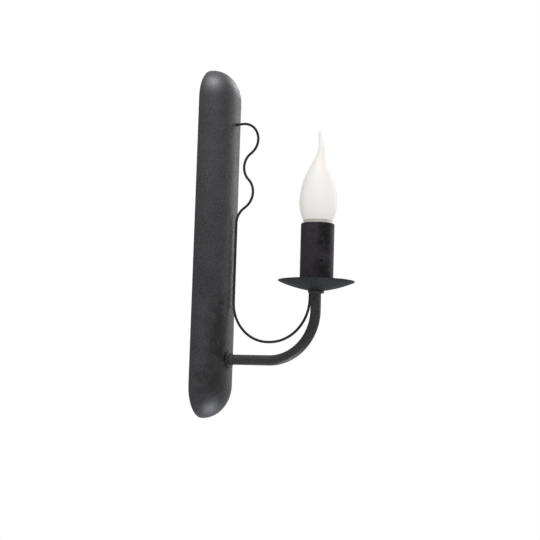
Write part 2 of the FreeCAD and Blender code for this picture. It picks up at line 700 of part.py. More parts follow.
def arm_tube():
    tail = ("0", "0 - arm_tail", ARM_LEVEL, "out")
    outside = swept("arm_outside", arm_path("arm_line", "0"), "arm_radius", *tail)
    tail = ("0", f"{OVERSHOOT} - arm_tail", ARM_LEVEL, "out")
    bore = swept("arm_bore", arm_path("arm_bore_line", OVERSHOOT), "arm_radius - arm_wall", *tail)
    return piece(cut("arm_body", outside, bore), "arm_tube")


def arm_fixings():
    """What holds the arm in the plate: a washer outside, and a toothed washer and a nut inside."""
    crest = ("0", "0 - plate_radius", ARM_LEVEL, "out")
    piece(tube("arm_washer", "washer_radius", THREAD_BORE, "washer_gauge", *crest), "arm_washer")
    seat = ("0", f"0 - {LOCK_SEAT}", ARM_LEVEL, "back")
    ring = tube("lock_ring", "lock_radius", THREAD_BORE, "lock_gauge", *seat)
    notches = []
    for index in range(round(number("lock_teeth"))):
        turn = f"{index} * 360 / lock_teeth"
        x = f"lock_radius * cos({turn})"
        z = f"{ARM_LEVEL} + lock_radius * sin({turn})"
        start = f"0 - {LOCK_SEAT}"
        notches.append(drill(f"lock_notch_{index}", "lock_notch", "lock_gauge", x, start, z, "back"))
    piece(cut("lock_body", ring, *notches), "arm_lock_washer")
    seat = ("0", f"0 - {NUT_SEAT}", ARM_LEVEL, "back")
    nut("arm_nut", "nut_flats", "arm_nut_height", THREAD_BORE, *seat)


def wire_bush():
    """The insulating bush in the arm's inner end, which keeps the leads off its edge."""
    outer = "arm_radius - arm_wall - hole_fit"
    start = ("0", "bush_flange - arm_tail", ARM_LEVEL, "out")
    sleeve = rod("bush_sleeve", outer, "bush_depth + bush_flange", *start)
    flange = rod("bush_rim", "arm_radius", "bush_flange", *start)
    bore = drill("bush_bore", f"{outer} - bush_wall", "bush_depth + bush_flange", *start)
    return piece(cut("bush_body", fuse("bush_blank", sleeve, flange), bore), "wire_bush")


# ---------------------------------------------------------------- scroll wire


def upright(y, z):
    """A point of the wire's own plane, x = 0."""
    return FreeCAD.Vector(0, y, z)


def quarter(start, centre, end):
    """A quarter circle from start to end."""
    middle = centre + (start + end - centre * 2).normalize() * start.distanceToPoint(centre)
    return Part.Arc(start, middle, end).toShape()


def wave(above, below):
    """Two equal arcs, tangent to each other, that leave one point straight down and reach the next so too."""
    across = below.y - above.y
    drop = above.z - below.z
    turn = 2 * math.atan2(abs(across), drop)
    bend = drop / (2 * math.sin(turn))
    half = math.copysign(bend * (1 - math.cos(turn / 2)), across)
    rise = bend * math.sin(turn / 2)
    middle = (above + below) * 0.5
    upper = Part.Arc(above, upright(above.y + half, above.z - rise), middle).toShape()
    lower = Part.Arc(middle, upright(below.y - half, below.z + rise), below).toShape()
    return [upper, lower]


def scroll_path():
    """Out of the plate, two waves down to the straight run beside it, then the loop up to the arm."""
    crest = -number("plate_radius")
    entry = number(ENTRY_LEVEL)
    bend = number("first_wave_bend")
    run = crest - number("run_gap + wire_radius")
    arm_side = number("wire_radius + arm_radius + tack_gap - arm_reach")
    plate_bend = (run - arm_side - number("loop_flat + loop_lean")) / 2
    arm_bend = plate_bend + number("loop_lean")
    outer_end = upright(arm_side, number(f"{COLLAR_FOOT} - scroll_end_gap"))
    rise_foot = upright(arm_side, outer_end.z - number("scroll_rise"))
    loop = rise_foot.z - arm_bend
    inner_end = upright(-number("scroll_tail"), entry)
    first = upright(crest - number("first_wave_reach"), entry - bend)
    turn_in = upright(first.y + bend, entry)
    dip = upright(crest - number("dip_reach"), entry - number("dip_drop"))
    second = upright(crest - number("second_wave_reach"), entry - number("second_wave_drop"))
    run_top = upright(run, entry - number("run_drop"))
    run_foot = upright(run, loop + plate_bend)
    loop_start = upright(run - plate_bend, loop)
    loop_end = upright(arm_side + arm_bend, loop)
    edges = [Part.LineSegment(inner_end, turn_in).toShape()]
    edges.append(quarter(turn_in, upright(turn_in.y, first.z), first))
    edges += wave(first, dip) + wave(dip, second) + wave(second, run_top)
    edges.append(Part.LineSegment(run_top, run_foot).toShape())
    edges.append(quarter(run_foot, upright(loop_start.y, run_foot.z), loop_start))
    edges.append(Part.LineSegment(loop_start, loop_end).toShape())
    edges.append(quarter(loop_end, upright(loop_end.y, rise_foot.z), rise_foot))
    edges.append(Part.LineSegment(rise_foot, outer_end).toShape())
    return route("scroll_line", edges)


def scroll_wire():
    wire = swept("scroll", scroll_path(), "wire_radius", "0", "0 - scroll_tail", ENTRY_LEVEL, "out")
    return piece(wire, "scroll_wire")


# ---------------------------------------------------------------- leads


def lead(label, side):
    """One insulated lead: down from its clamp, through the arm and up to its terminal in the lampholder."""
    x_clamp = f"{side} * pole_pitch / 2"
    x_arm = f"{side} * lead_apart"
    x_holder = f"{side} * {BRASS_MIDDLE}"
    join_top = f"{ARM_LEVEL} + lead_join"
    join_foot = f"{ARM_LEVEL} + lead_join - lead_join_run"
    splay = f"{ARM_TOP} + splay_start"
    corners = [
        (x_clamp, LEAD_Y, BLOCK_LEVEL),
        (x_clamp, LEAD_Y, join_top, "lead_join_bend"),
        (x_arm, LEAD_Y, join_foot, "lead_join_bend"),
        (x_arm, LEAD_Y, ARM_LEVEL, "lead_turn"),
        (x_arm, CANDLE_Y, ARM_LEVEL, "arm_bend"),
        (x_arm, CANDLE_Y, splay, "splay_bend"),
        (x_holder, CANDLE_Y, f"{splay} + splay_rise", "splay_bend"),
        (x_holder, CANDLE_Y, f"{HOLDER_BASE} + {BRASS_FOOT} + lead_grip"),
    ]
    path = route(f"{label}_line", bent_edges(corners))
    return piece(swept(label, path, "lead_radius", x_clamp, LEAD_Y, BLOCK_LEVEL, "up"), label)


# ---------------------------------------------------------------- drip pan and candle sleeve


def pan_collar():
    corners = [
        (THREAD_BORE, "0"),
        ("collar_radius - collar_edge", "0"),
        ("collar_radius", "collar_edge"),
        ("collar_radius", "collar_height"),
        (THREAD_BORE, "collar_height"),
    ]
    return piece(turned("pan_collar", corners, CANDLE_Y, COLLAR_FOOT), "pan_collar")


def drip_pan():
    """A spun dish of one gauge: a flat middle and a slope that bows a little below the straight line."""
    corners = [
        (THREAD_BORE, "0"),
        ("pan_flat", "0", "-pan_bow"),
        ("pan_radius", "pan_rise"),
        ("pan_radius", "pan_rise + pan_gauge", "pan_bow"),
        ("pan_flat", "pan_gauge"),
        (THREAD_BORE, "pan_gauge"),
    ]
    return piece(turned("drip_pan", corners, CANDLE_Y, PAN_UNDER), "drip_pan")


GRUB_LEVEL = f"({PAN_UNDER} + grub_level)"


def radial(shape, distance):
    """Puts a bar that runs outwards, in the grub screw's direction, at a distance from the candle's axis."""
    x = f"({distance}) * cos(grub_angle)"
    y = f"({distance}) * sin(grub_angle) - arm_reach"
    return place(shape, x, y, GRUB_LEVEL)


def candle_sleeve():
    length = f"{PAN_UNDER} + sleeve_top - {SLEEVE_SEAT}"
    wall = tube("sleeve", "sleeve_radius", "sleeve_radius - sleeve_wall", length, "0", CANDLE_Y, SLEEVE_SEAT)
    pin = rod("sleeve_hole", "grub_radius + grub_fit", f"sleeve_wall + 2 * {OVERSHOOT}", along="grub")
    hole = radial(pin, f"sleeve_radius - sleeve_wall - {OVERSHOOT}")
    return piece(cut("sleeve_body", wall, hole), "candle_sleeve")


GRUB_START = "sleeve_radius - grub_sunk - grub_length"


def sleeve_screw():
    """A headless screw through the sleeve into the lampholder, with a hexagon socket."""
    stem = radial(rod("grub_stem", "grub_radius", "grub_length", along="grub"), GRUB_START)
    cutter = hexagon("grub_socket_cutter", "grub_socket", f"grub_socket_depth + {OVERSHOOT}", along="grub")
    socket = radial(cutter, "sleeve_radius - grub_sunk - grub_socket_depth")
    return piece(cut("grub_body", stem, socket), "sleeve_screw")


# ---------------------------------------------------------------- lampholder


def holder_body():
    """The smooth outer shell, its floor and the threaded boss that takes the arm."""
    corners = [
        (THREAD_BORE, "0"),
        ("holder_radius - holder_wall / 2", "0"),
        ("holder_radius", "holder_wall / 2"),
        ("holder_radius", "holder_height"),
        ("holder_radius - holder_wall", "holder_height"),
        ("holder_radius - holder_wall", "holder_floor"),
        ("boss_radius", "holder_floor"),
        ("boss_radius", "holder_thread"),
        (THREAD_BORE, "holder_thread"),
    ]
    shell = turned("holder_round", corners, CANDLE_Y, HOLDER_BASE)
    pin = rod("holder_grub_hole", "grub_radius + grub_fit", "grub_length + grub_fit", along="grub")
    hole = radial(pin, f"{GRUB_START} - grub_fit")
    return piece(cut("holder_shell", shell, hole), "holder_body")


def holder_core():
    """The insulating core: a flange on the shell's rim, the screw shell's bore, a chamber for the contact."""
    top = "holder_height + core_flange"
    bore = "shell_radius + core_fit"
    corners = [
        ("0", "core_foot"),
        (CORE_RADIUS, "core_foot"),
        (CORE_RADIUS, "holder_height"),
        ("holder_radius", "holder_height"),
        ("holder_radius", top),
        (bore, top),
        (bore, "shell_foot"),
        ("chamber_radius", "shell_foot"),
        ("chamber_radius", CHAMBER_FLOOR),
        ("0", CHAMBER_FLOOR),
    ]
    core = turned("core", corners, CANDLE_Y, HOLDER_BASE)
    wide = "contact_width + 2 * hole_fit"
    side = f"0 - arm_reach + ({wide}) / 2"
    foot = f"{HOLDER_BASE} + core_foot - {OVERSHOOT}"
    tab_slot = box(
        "core_tab_slot", "shell_gauge + 2 * hole_fit", wide, f"shell_foot - core_foot + 2 * {OVERSHOOT}",
        "0 - shell_radius + shell_gauge / 2", side, foot,
    )
    leg_slot = box(
        "core_leg_slot", "contact_gauge + 2 * hole_fit", wide,
        f"core_floor + contact_gauge + hole_fit + {OVERSHOOT}",
        f"{SHELL_BORE} + contact_gauge / 2", side, foot,
    )
    channel = box(
        "core_channel", f"{SHELL_BORE} + contact_gauge + hole_fit", wide, "contact_gauge + hole_fit",
        f"({SHELL_BORE} + contact_gauge + hole_fit) / 2", side, f"{HOLDER_BASE} + {CHAMBER_FLOOR}",
    )
    return piece(cut("core_body", core, tab_slot, leg_slot, channel), "holder_core")


def screw_shell():
    """The sheet-metal shell that the bulb's cap goes into, with a tab down to its terminal."""
    length = "holder_height - shell_foot"
    level = f"{HOLDER_BASE} + shell_foot"
    ring = tube("screw_ring", "shell_radius", SHELL_BORE, length, "0", CANDLE_Y, level)
    tab = box(
        "screw_tab", "shell_gauge", "contact_width", f"shell_foot - {LEG_FOOT}",
        "0 - shell_radius + shell_gauge / 2", "contact_width / 2 - arm_reach", f"{HOLDER_BASE} + {LEG_FOOT}",
    )
    return piece(fuse("screw_shell_body", ring, tab), "screw_shell")


def centre_contact():
    """The sprung strip under the bulb's tip, bent down to its terminal."""
    out = f"{SHELL_BORE} + contact_gauge"
    low = CHAMBER_FLOOR
    high = "contact_level"
    corners = [
        (out, LEG_FOOT),
        (out, f"{low} + contact_gauge"),
        ("tongue_foot", f"{low} + contact_gauge"),
        ("tongue_flat", high),
        ("0 - tongue_flat", high),
        ("0 - tongue_foot", f"{low} + contact_gauge"),
        ("0 - tongue_foot + contact_gauge", low),
        ("0 - tongue_flat + contact_gauge / 2", f"{high} - contact_gauge"),
        ("tongue_flat - contact_gauge / 2", f"{high} - contact_gauge"),
        ("tongue_foot - contact_gauge", low),
        (SHELL_BORE, low),
        (SHELL_BORE, LEG_FOOT),
    ]
    return piece(strip("centre_contact", corners, "contact_width", CANDLE_Y, HOLDER_BASE), "centre_contact")


def holder_terminals():
    """Two brass blocks under the core; each has a hole for its lead and one for its screw."""
    brasses = []
    screws = []
    foot = f"{HOLDER_BASE} + {BRASS_FOOT}"
    middle = f"{foot} + brass_height / 2"
    back = "brass_depth / 2 - arm_reach"
    outer_end = "0 - arm_reach - brass_depth / 2 - screw_sunk"
    reach = "brass_depth / 2 + screw_sunk"
    for pole, side in (("live", "-1"), ("neutral", "1")):
        x = f"{side} * {BRASS_MIDDLE}"
        start = (x, outer_end, middle, "back")
        blank = box(f"brass_{pole}", "brass_width", "brass_depth", "brass_height", x, back, foot)
        lead_hole = drill(f"brass_{pole}_bore", "brass_bore", "lead_grip", x, CANDLE_Y, foot)
        screw_hole = rod(f"brass_{pole}_tap", "screw_radius + thread_fit", reach, *start)
        brasses.append(cut(f"brass_{pole}_body", blank, lead_hole, screw_hole))
        screws.append(clamp_screw(f"holder_screw_{pole}", f"{reach} - lead_radius - seat_gap", *start))
    group("holder_terminals", *brasses)
    group("holder_terminal_screws", *screws)


# ---------------------------------------------------------------- bulb

# The flame's outline: height and radius as shares of the glass's own, and where its middle lies, as a share
# of the lean.
FLAME = [
    (0, 0.782, 0),
    (0.049, 0.887, 0),
    (0.118, 0.970, 0),
    (0.194, 1, 0),
    (0.281, 0.972, 0),
    (0.373, 0.887, 0),
    (0.466, 0.752, 0),
    (0.548, 0.584, 0.02),
    (0.617, 0.430, 0.12),
    (0.681, 0.295, 0.48),
    (0.745, 0.212, 0.80),
    (0.814, 0.160, 1),
    (0.884, 0.110, 0.55),
    (0.942, 0.080, -0.05),
    (1, 0.030, -0.20),
]


def flame(name, sections, thinner):
    """The flame's solid through its round sections, made thinner all round by a wall."""
    rings = []
    for index, (height, radius, lean) in enumerate(sections):
        ring = doc.addObject("Part::Circle", f"{name}_{index}")
        bind(ring, Radius=f"glass_radius * {radius} - ({thinner})")
        place(ring, "0", f"0 - arm_reach - flame_lean * {lean}", f"{GLASS_FOOT} + glass_height * {height}")
        rings.append(ring)
    loft = doc.addObject("Part::Loft", name)
    loft.Sections = rings
    loft.Solid = True
    loft.Ruled = False
    return loft


def bulb_glass():
    """A frosted shell, open below, with a solid drawn tip."""
    hollow = [section for section in FLAME if number(f"glass_radius * {section[1]} - glass_neck") > 0]
    outside = flame("flame_outside", FLAME, "0")
    inside = flame("flame_inside", hollow, "glass_wall")
    return piece(cut("glass_body", outside, inside), "bulb_glass")


def bulb_collar():
    """The cup under the glass, which narrows to the cap; its ledge carries the light sources' board."""
    top = "bulb_collar_height"
    ledge = "bulb_collar_height - led_disc_gauge"
    corners = [
        (CAP_INSIDE, "0"),
        ("bulb_neck_radius", "0"),
        ("bulb_neck_radius", "bulb_neck_height"),
        ("bulb_collar_radius", f"{top} - bulb_collar_band"),
        ("bulb_collar_radius", top),
        ("led_disc_radius + hole_fit", top),
        ("led_disc_radius + hole_fit", ledge),
        ("led_disc_radius - bulb_collar_wall", ledge),
        (CAP_INSIDE, "bulb_neck_height"),
    ]
    return piece(turned("bulb_collar", corners, CANDLE_Y, CAP_RIM), "bulb_collar")


def bulb_cap():
    """The screw cap in thin sheet: its thread is a row of rounded crests, one for each turn."""
    turns = round(number("cap_turns"))
    corners = [(CAP_INSIDE, "0"), (CAP_ROOT, "0")]
    for turn in range(turns):
        corners.append((CAP_ROOT, f"cap_edge + {turn} * cap_pitch", "-cap_thread_depth"))
    corners.append((CAP_ROOT, f"cap_edge + {turns} * cap_pitch"))
    corners.append((CAP_ROOT, "cap_foot"))
    corners.append((CAP_INSIDE, "cap_foot"))
    return piece(turned("bulb_cap", corners, CANDLE_Y, CAP_FOOT), "bulb_cap")


def bulb_tip():
    """The glass insulator that closes the cap, and the contact in its middle."""
    height = "cap_length - cap_foot - tip_height"
    cone = [
        ("0", "0"),
        ("tip_radius + tip_rim", "0"),
        (CAP_ROOT, height),
        ("0", height),
    ]
    piece(turned("bulb_insulator", cone, CANDLE_Y, f"{BULB_TIP} + tip_height"), "bulb_insulator")
    button = [
        ("0", "0"),
        ("tip_radius - tip_round", "0", "-tip_round * (1 - sqrt(2) / 2)"),
        ("tip_radius", "tip_round"),
        ("tip_radius", "tip_height"),
        ("0", "tip_height"),
    ]
    piece(turned("bulb_contact", button, CANDLE_Y, BULB_TIP), "bulb_contact")


def light_sources():
    """The round board under the glass, the light sources in a ring on it and the driver board below."""
    level = f"{GLASS_FOOT} - led_disc_gauge"
    piece(rod("led_disc", "led_disc_radius", "led_disc_gauge", "0", CANDLE_Y, level), "led_board")
    chips = []
    for index in range(round(number("led_count"))):
        turn = f"{index} * 360 / led_count"
        x = f"led_circle * cos({turn})"
        y = f"led_circle * sin({turn}) - arm_reach + led_size / 2"
        chips.append(box(f"led_{index}", "led_size", "led_size", "led_height", x, y, GLASS_FOOT))
    group("led_chips", *chips)
    corner = ("0", "driver_gauge / 2 - arm_reach", f"{level} - driver_height")
    piece(box("driver", "driver_width", "driver_gauge", "driver_height", *corner), "driver_board")


# ---------------------------------------------------------------- the whole sconce


def build():
    wall_plate()
    hanger_bar("upper_hanger_bar", "keyhole_spacing / 2")
    hanger_bar("lower_hanger_bar", "0 - keyhole_spacing / 2")
    terminal_deck()
    terminal_block()
    terminal_clamps()
    terminal_screws()
    block_screw()
    earth_terminal()
    arm_tube()
    arm_fixings()
    wire_bush()
    scroll_wire()
    lead("live_lead", "-1")
    lead("neutral_lead", "1")
    pan_collar()
    drip_pan()
    nut("pan_nut", "nut_flats", "pan_nut_height", THREAD_BORE, "0", CANDLE_Y, PAN_FLOOR)
    candle_sleeve()
    sleeve_screw()
    holder_body()
    holder_core()
    screw_shell()
    centre_contact()
    holder_terminals()
    bulb_glass()
    bulb_collar()
    bulb_cap()
    bulb_tip()
    light_sources()


def check():
    """Before anything is written, every object has to have been worked out and every sub-part be whole."""
    failed = [shape.Name for shape in doc.Objects if {"Invalid", "Error"} & set(shape.State)]
    if failed:
        raise RuntimeError(f"these did not build: {failed}")
    for shape in PIECES:
        if shape.Shape.isNull() or not shape.Shape.isValid() or not shape.Shape.Solids:
            raise RuntimeError(f"{shape.Label} is not a sound solid")


build()
doc.recompute()
check()
os.makedirs("parts", exist_ok=True)
for shape in PIECES:
    shape.Shape.exportStep(f"parts/{shape.Label}.step")
    size = shape.Shape.BoundBox
    spread = f"{size.XLength:7.2f} {size.YLength:7.2f} {size.ZLength:7.2f}"
    print(f"{shape.Label:24} solids {len(shape.Shape.Solids)}  volume {shape.Shape.Volume:10.2f}  {spread}")
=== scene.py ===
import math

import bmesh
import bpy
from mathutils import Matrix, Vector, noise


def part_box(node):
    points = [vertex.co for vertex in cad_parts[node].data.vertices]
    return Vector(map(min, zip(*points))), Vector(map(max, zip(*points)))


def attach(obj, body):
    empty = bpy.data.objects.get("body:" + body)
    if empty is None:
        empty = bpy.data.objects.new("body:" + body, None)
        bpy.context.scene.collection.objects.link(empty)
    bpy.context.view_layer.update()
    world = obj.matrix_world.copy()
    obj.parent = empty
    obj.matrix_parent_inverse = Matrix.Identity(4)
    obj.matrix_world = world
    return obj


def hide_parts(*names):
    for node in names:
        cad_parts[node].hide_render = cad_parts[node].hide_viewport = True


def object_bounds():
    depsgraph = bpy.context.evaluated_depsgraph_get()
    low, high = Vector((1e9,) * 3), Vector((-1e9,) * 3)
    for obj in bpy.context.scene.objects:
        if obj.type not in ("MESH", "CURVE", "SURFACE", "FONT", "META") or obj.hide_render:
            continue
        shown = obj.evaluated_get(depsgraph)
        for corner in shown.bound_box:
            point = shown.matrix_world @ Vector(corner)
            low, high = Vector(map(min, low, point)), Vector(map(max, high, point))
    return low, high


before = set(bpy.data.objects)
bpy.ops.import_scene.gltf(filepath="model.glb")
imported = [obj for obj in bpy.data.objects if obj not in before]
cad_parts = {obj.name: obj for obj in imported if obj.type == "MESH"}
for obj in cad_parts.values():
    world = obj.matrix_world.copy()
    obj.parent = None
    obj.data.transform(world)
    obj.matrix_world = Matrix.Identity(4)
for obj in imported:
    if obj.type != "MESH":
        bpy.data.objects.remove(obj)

# %% [markdown]
# # A torch sconce
# This is a wall light shaped like a torch: a tall half-round steel plate, a bent tube that carries a drip
# pan, a candle sleeve and a flame-shaped bulb, and a thin wire bent into two waves and a loop. The solids
# are already in place, loaded above as fixed nodes. What follows gives each of them the finish of the real
# thing, and swaps the ones whose edges, threads or drawn glass need finer shapes.
#
# The box of the solids is kept first.

MM = 0.001
cad_low, cad_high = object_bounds()
scene = bpy.context.scene
print("solids:", len(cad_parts), "box in mm:", [round(v / MM, 1) for v in cad_high - cad_low])

# %% [markdown]
# ## Where things are
# Every size that the solids already have is read from them, so that a new piece fits without measuring
# twice. A node's box gives the middle and the extent of a round piece, and so its axis and its radius.

# %% Places taken from the solids
def middle_and_size(node):
    low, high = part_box(node)
    return (low + high) / 2, high - low


sleeve_middle, sleeve_size = middle_and_size("candle_sleeve")
candle_y = sleeve_middle.y
sleeve_radius = sleeve_size.x / 2
plate_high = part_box("wall_plate")[1]
plate_radius = plate_high.x
print("candle stands", round(-candle_y / MM, 1), "mm off the wall")
print("plate radius", round(plate_radius / MM, 2), "mm")

# %% [markdown]
# ## The camera
# The photograph was taken from a little below the candle, from the plate's left. The place, heading and
# tilt below came from fitting a pinhole camera to the outlines of plate, arm and pan; the long lens keeps
# the perspective as slight as it is there. The camera is built first.

# %% Camera
CAMERA_PLACE = Vector((-922.4, -542.2, -136.2)) * MM
CAMERA_HEADING = math.radians(-62.909)
CAMERA_RISE = math.radians(5.871)
CAMERA_ROLL = math.radians(1.723)
CAMERA_LENS = 71.62
CAMERA_SENSOR = 36

camera = bpy.data.objects.new("photo_camera", bpy.data.cameras.new("photo_camera"))
camera.data.sensor_fit = "HORIZONTAL"
camera.data.sensor_width = CAMERA_SENSOR
camera.data.lens = CAMERA_LENS
camera.matrix_world = (
    Matrix.Translation(CAMERA_PLACE)
    @ Matrix.Rotation(CAMERA_HEADING, 4, "Z")
    @ Matrix.Rotation(math.pi / 2 + CAMERA_RISE, 4, "X")
    @ Matrix.Rotation(CAMERA_ROLL, 4, "Z")
)
scene.collection.objects.link(camera)
scene.camera = camera
scene.view_settings.view_transform = "Standard"
print("camera looks along", [round(v, 3) for v in camera.matrix_world.to_3x3() @ Vector((0, 0, -1))])

# %% [markdown]
# ## Node helpers
# A material is a small network of nodes. It could be wired by hand each time, but then every cell would be
# long. Short helpers keep the later cells readable: one adds a node and fills in its inputs, one mixes two
# colours, one does a sum, and one stretches a range of values to another.

# %% Node helpers
def add(tree, kind, inputs=None, **settings):
    """A node of that kind. An input is a plain value, or another node's output to link."""
    made = tree.nodes.new(kind)
    for name, value in settings.items():
        setattr(made, name, value)
    for key, value in (inputs or {}).items():
        if isinstance(value, bpy.types.NodeSocket):
            tree.links.new(value, made.inputs[key])
        else:
            made.inputs[key].default_value = value
    return made


def mix_colours(tree, share, below, above):
    """The colour below where share is 0, and the one above where it is 1."""
    made = add(tree, "ShaderNodeMix", data_type="RGBA")
    for socket, value in (("Factor_Float", share), ("A_Color", below), ("B_Color", above)):
        target = next(entry for entry in made.inputs if entry.identifier == socket)
        if isinstance(value, bpy.types.NodeSocket):
            tree.links.new(value, target)
        else:
            target.default_value = value
    return next(entry for entry in made.outputs if entry.identifier == "Result_Color")


def arithmetic(tree, operation, first, second):
    return add(tree, "ShaderNodeMath", {0: first, 1: second}, operation=operation).outputs[0]


def remap(tree, value, low, high, to_low=0.0, to_high=1.0):
    """Stretches value from low..high to to_low..to_high, and clamps it there."""
    inputs = {"Value": value, "From Min": low, "From Max": high, "To Min": to_low, "To Max": to_high}
    return add(tree, "ShaderNodeMapRange", inputs).outputs["Result"]


print("node helpers ready")

# %% [markdown]
# ## Texture helpers
# Nothing here is a picture. Every pattern is worked out from where a point lies in its object, in metres,
# so a pattern keeps its true size on any piece. Noise gives the patterns, sums of vectors give places and
# distances, and a bump turns a height into shading without moving the surface.

# %% Texture helpers
def object_place(tree):
    return add(tree, "ShaderNodeTexCoord").outputs["Object"]


def noise_at(tree, place, per_metre, detail=2.0, roughness=0.5, distortion=0.0):
    """Noise from 0 to 1 with that many waves in a metre."""
    inputs = {"Vector": place, "Scale": per_metre, "Detail": detail}
    inputs.update({"Roughness": roughness, "Distortion": distortion})
    return add(tree, "ShaderNodeTexNoise", inputs).outputs["Fac"]


def vector_maths(tree, operation, first, second=None):
    """What comes out is a number for a length or a distance, and a vector for all else."""
    inputs = {0: first} if second is None else {0: first, 1: second}
    made = add(tree, "ShaderNodeVectorMath", inputs, operation=operation)
    return made.outputs["Value" if operation in ("LENGTH", "DISTANCE") else "Vector"]


def three_numbers(tree, x, y, z):
    return add(tree, "ShaderNodeCombineXYZ", {0: x, 1: y, 2: z}).outputs[0]


def relief(tree, shader, height, strength, distance):
    """Shades the surface as if it rose by that distance where the height is 1."""
    bump = add(tree, "ShaderNodeBump", {"Height": height, "Strength": strength, "Distance": distance})
    tree.links.new(bump.outputs["Normal"], shader.inputs["Normal"])


print("texture helpers ready")

# %% [markdown]
# ## Groups
# An effect that several finishes share is built once, as a node group with sockets for what differs.
# Copying its nodes into each material would work too, but then one change would have to be made many times.

# %% Groups
def new_group(name, sockets_in, sockets_out):
    """An empty node group with float sockets, and its input and output nodes."""
    group = bpy.data.node_groups.new(name, "ShaderNodeTree")
    for label, value in sockets_in.items():
        socket = group.interface.new_socket(label, in_out="INPUT", socket_type="NodeSocketFloat")
        socket.default_value = value
    for label in sockets_out:
        group.interface.new_socket(label, in_out="OUTPUT", socket_type="NodeSocketFloat")
    return group, group.nodes.new("NodeGroupInput"), group.nodes.new("NodeGroupOutput")


def use(tree, group, **values):
    """Places a group in a material. An underscore in a value's name stands for a space."""
    made = add(tree, "ShaderNodeGroup", node_tree=group)
    for label, value in values.items():
        socket = made.inputs[label.replace("_", " ").capitalize()]
        if isinstance(value, bpy.types.NodeSocket):
            tree.links.new(value, socket)
        else:
            socket.default_value = value
    return made.outputs


print("group helpers ready")

# %% [markdown]
# ## Effects that finishes share
# Powder coat isn't smooth. Its grains melt into round pimples less than half a millimetre wide, and the
# coat looks speckled a little more coarsely than that, where pimples stand closer or further apart. A
# picture of such a skin would repeat and blur up close. Noise worked out from the object's own coordinates
# doesn't, so the grain is a group with its size as an input, used by every coated piece with its own value:
# cells of a Voronoi texture give the pimples their height, and noise gives the speckled tone.

# %% Sandy grain
def build_sandy_grain():
    sockets = {"Specks per metre": 640.0, "Pimples per metre": 2300.0}
    group, given, out = new_group("sandy_grain", sockets, ["Tone", "Height"])
    place = object_place(group)
    per_metre = given.outputs["Specks per metre"]
    skin = noise_at(group, place, per_metre, 4.0, 0.7)
    finer = arithmetic(group, "MULTIPLY", per_metre, 2.4)
    sparks = noise_at(group, place, finer, 1.0)
    body = remap(group, skin, 0.30, 0.70, 0.0, 0.75)
    bright = remap(group, sparks, 0.58, 0.72, 0.0, 0.8)
    group.links.new(arithmetic(group, "ADD", body, bright), out.inputs["Tone"])
    inputs = {"Vector": place, "Scale": given.outputs["Pimples per metre"], "Smoothness": 0.6}
    cells = add(group, "ShaderNodeTexVoronoi", inputs, feature="SMOOTH_F1")
    dome = remap(group, cells.outputs["Distance"], 0.05, 0.75, 1.0, 0.0)
    swell = arithmetic(group, "MULTIPLY", skin, 0.8)
    group.links.new(arithmetic(group, "ADD", dome, swell), out.inputs["Height"])
    return group


sandy_grain = build_sandy_grain()
print("group", sandy_grain.name, "gives", [item.name for item in sandy_grain.interface.items_tree])

# %% [markdown]
# The coat's slow change from place to place is a second group. It is wide noise, bent by a finer one so
# that its patches don't look like round blots.

# %% Cloudy coat
def build_cloudy_coat():
    sockets = {"Patches per metre": 30.0, "Contrast": 1.0}
    group, given, out = new_group("cloudy_coat", sockets, ["Cloud"])
    place = object_place(group)
    patches = noise_at(group, place, given.outputs["Patches per metre"], 4.0, distortion=0.6)
    centred = arithmetic(group, "SUBTRACT", patches, 0.5)
    spread = arithmetic(group, "MULTIPLY", centred, given.outputs["Contrast"])
    inputs = {0: spread, 1: 2.5, 2: 0.5}
    cloud = add(group, "ShaderNodeMath", inputs, operation="MULTIPLY_ADD", use_clamp=True)
    group.links.new(cloud.outputs[0], out.inputs["Cloud"])
    return group


cloudy_coat = build_cloudy_coat()
print("group", cloudy_coat.name, "ready")

# %% [markdown]
# Handling rubs a coat on its outer edges, where it is thinnest. Blender's pointiness tells how sharply the
# surface bends outwards at a place; the group turns it into a mask and breaks it up with noise, because
# real wear comes and goes along an edge. Pointiness itself is read in each material and handed in.

# %% Rubbed edges
def build_rubbed_edge():
    sockets = {"Pointiness": 0.5, "Start": 0.53, "Full": 0.6}
    group, given, out = new_group("rubbed_edge", sockets, ["Wear"])
    asked = given.outputs
    place = object_place(group)
    edge = remap(group, asked["Pointiness"], asked["Start"], asked["Full"])
    breaks = noise_at(group, place, 260.0, 3.0)
    patchy = remap(group, breaks, 0.38, 0.62)
    group.links.new(arithmetic(group, "MULTIPLY", edge, patchy), out.inputs["Wear"])
    return group


rubbed_edge = build_rubbed_edge()
print("group", rubbed_edge.name, "ready")

# %% [markdown]
# A lamp on a wall gathers a little dust wherever it faces up: in the pan's dish and on the plate's upper
# dome. The upright part of the surface's normal says how much a place faces up.

# %% Settled dust
def build_settled_dust():
    group, given, out = new_group("settled_dust", {"Amount": 0.1}, ["Dust"])
    geometry = add(group, "ShaderNodeNewGeometry")
    up = add(group, "ShaderNodeSeparateXYZ", {"Vector": geometry.outputs["Normal"]}).outputs["Z"]
    facing = remap(group, up, 0.35, 1.0)
    drift = noise_at(group, object_place(group), 420.0, 5.0, 0.7)
    patchy = remap(group, drift, 0.35, 0.75)
    dust = arithmetic(group, "MULTIPLY", facing, patchy)
    dust = arithmetic(group, "MULTIPLY", dust, given.outputs["Amount"])
    group.links.new(dust, out.inputs["Dust"])
    return group


settled_dust = build_settled_dust()
print("group", settled_dust.name, "ready")
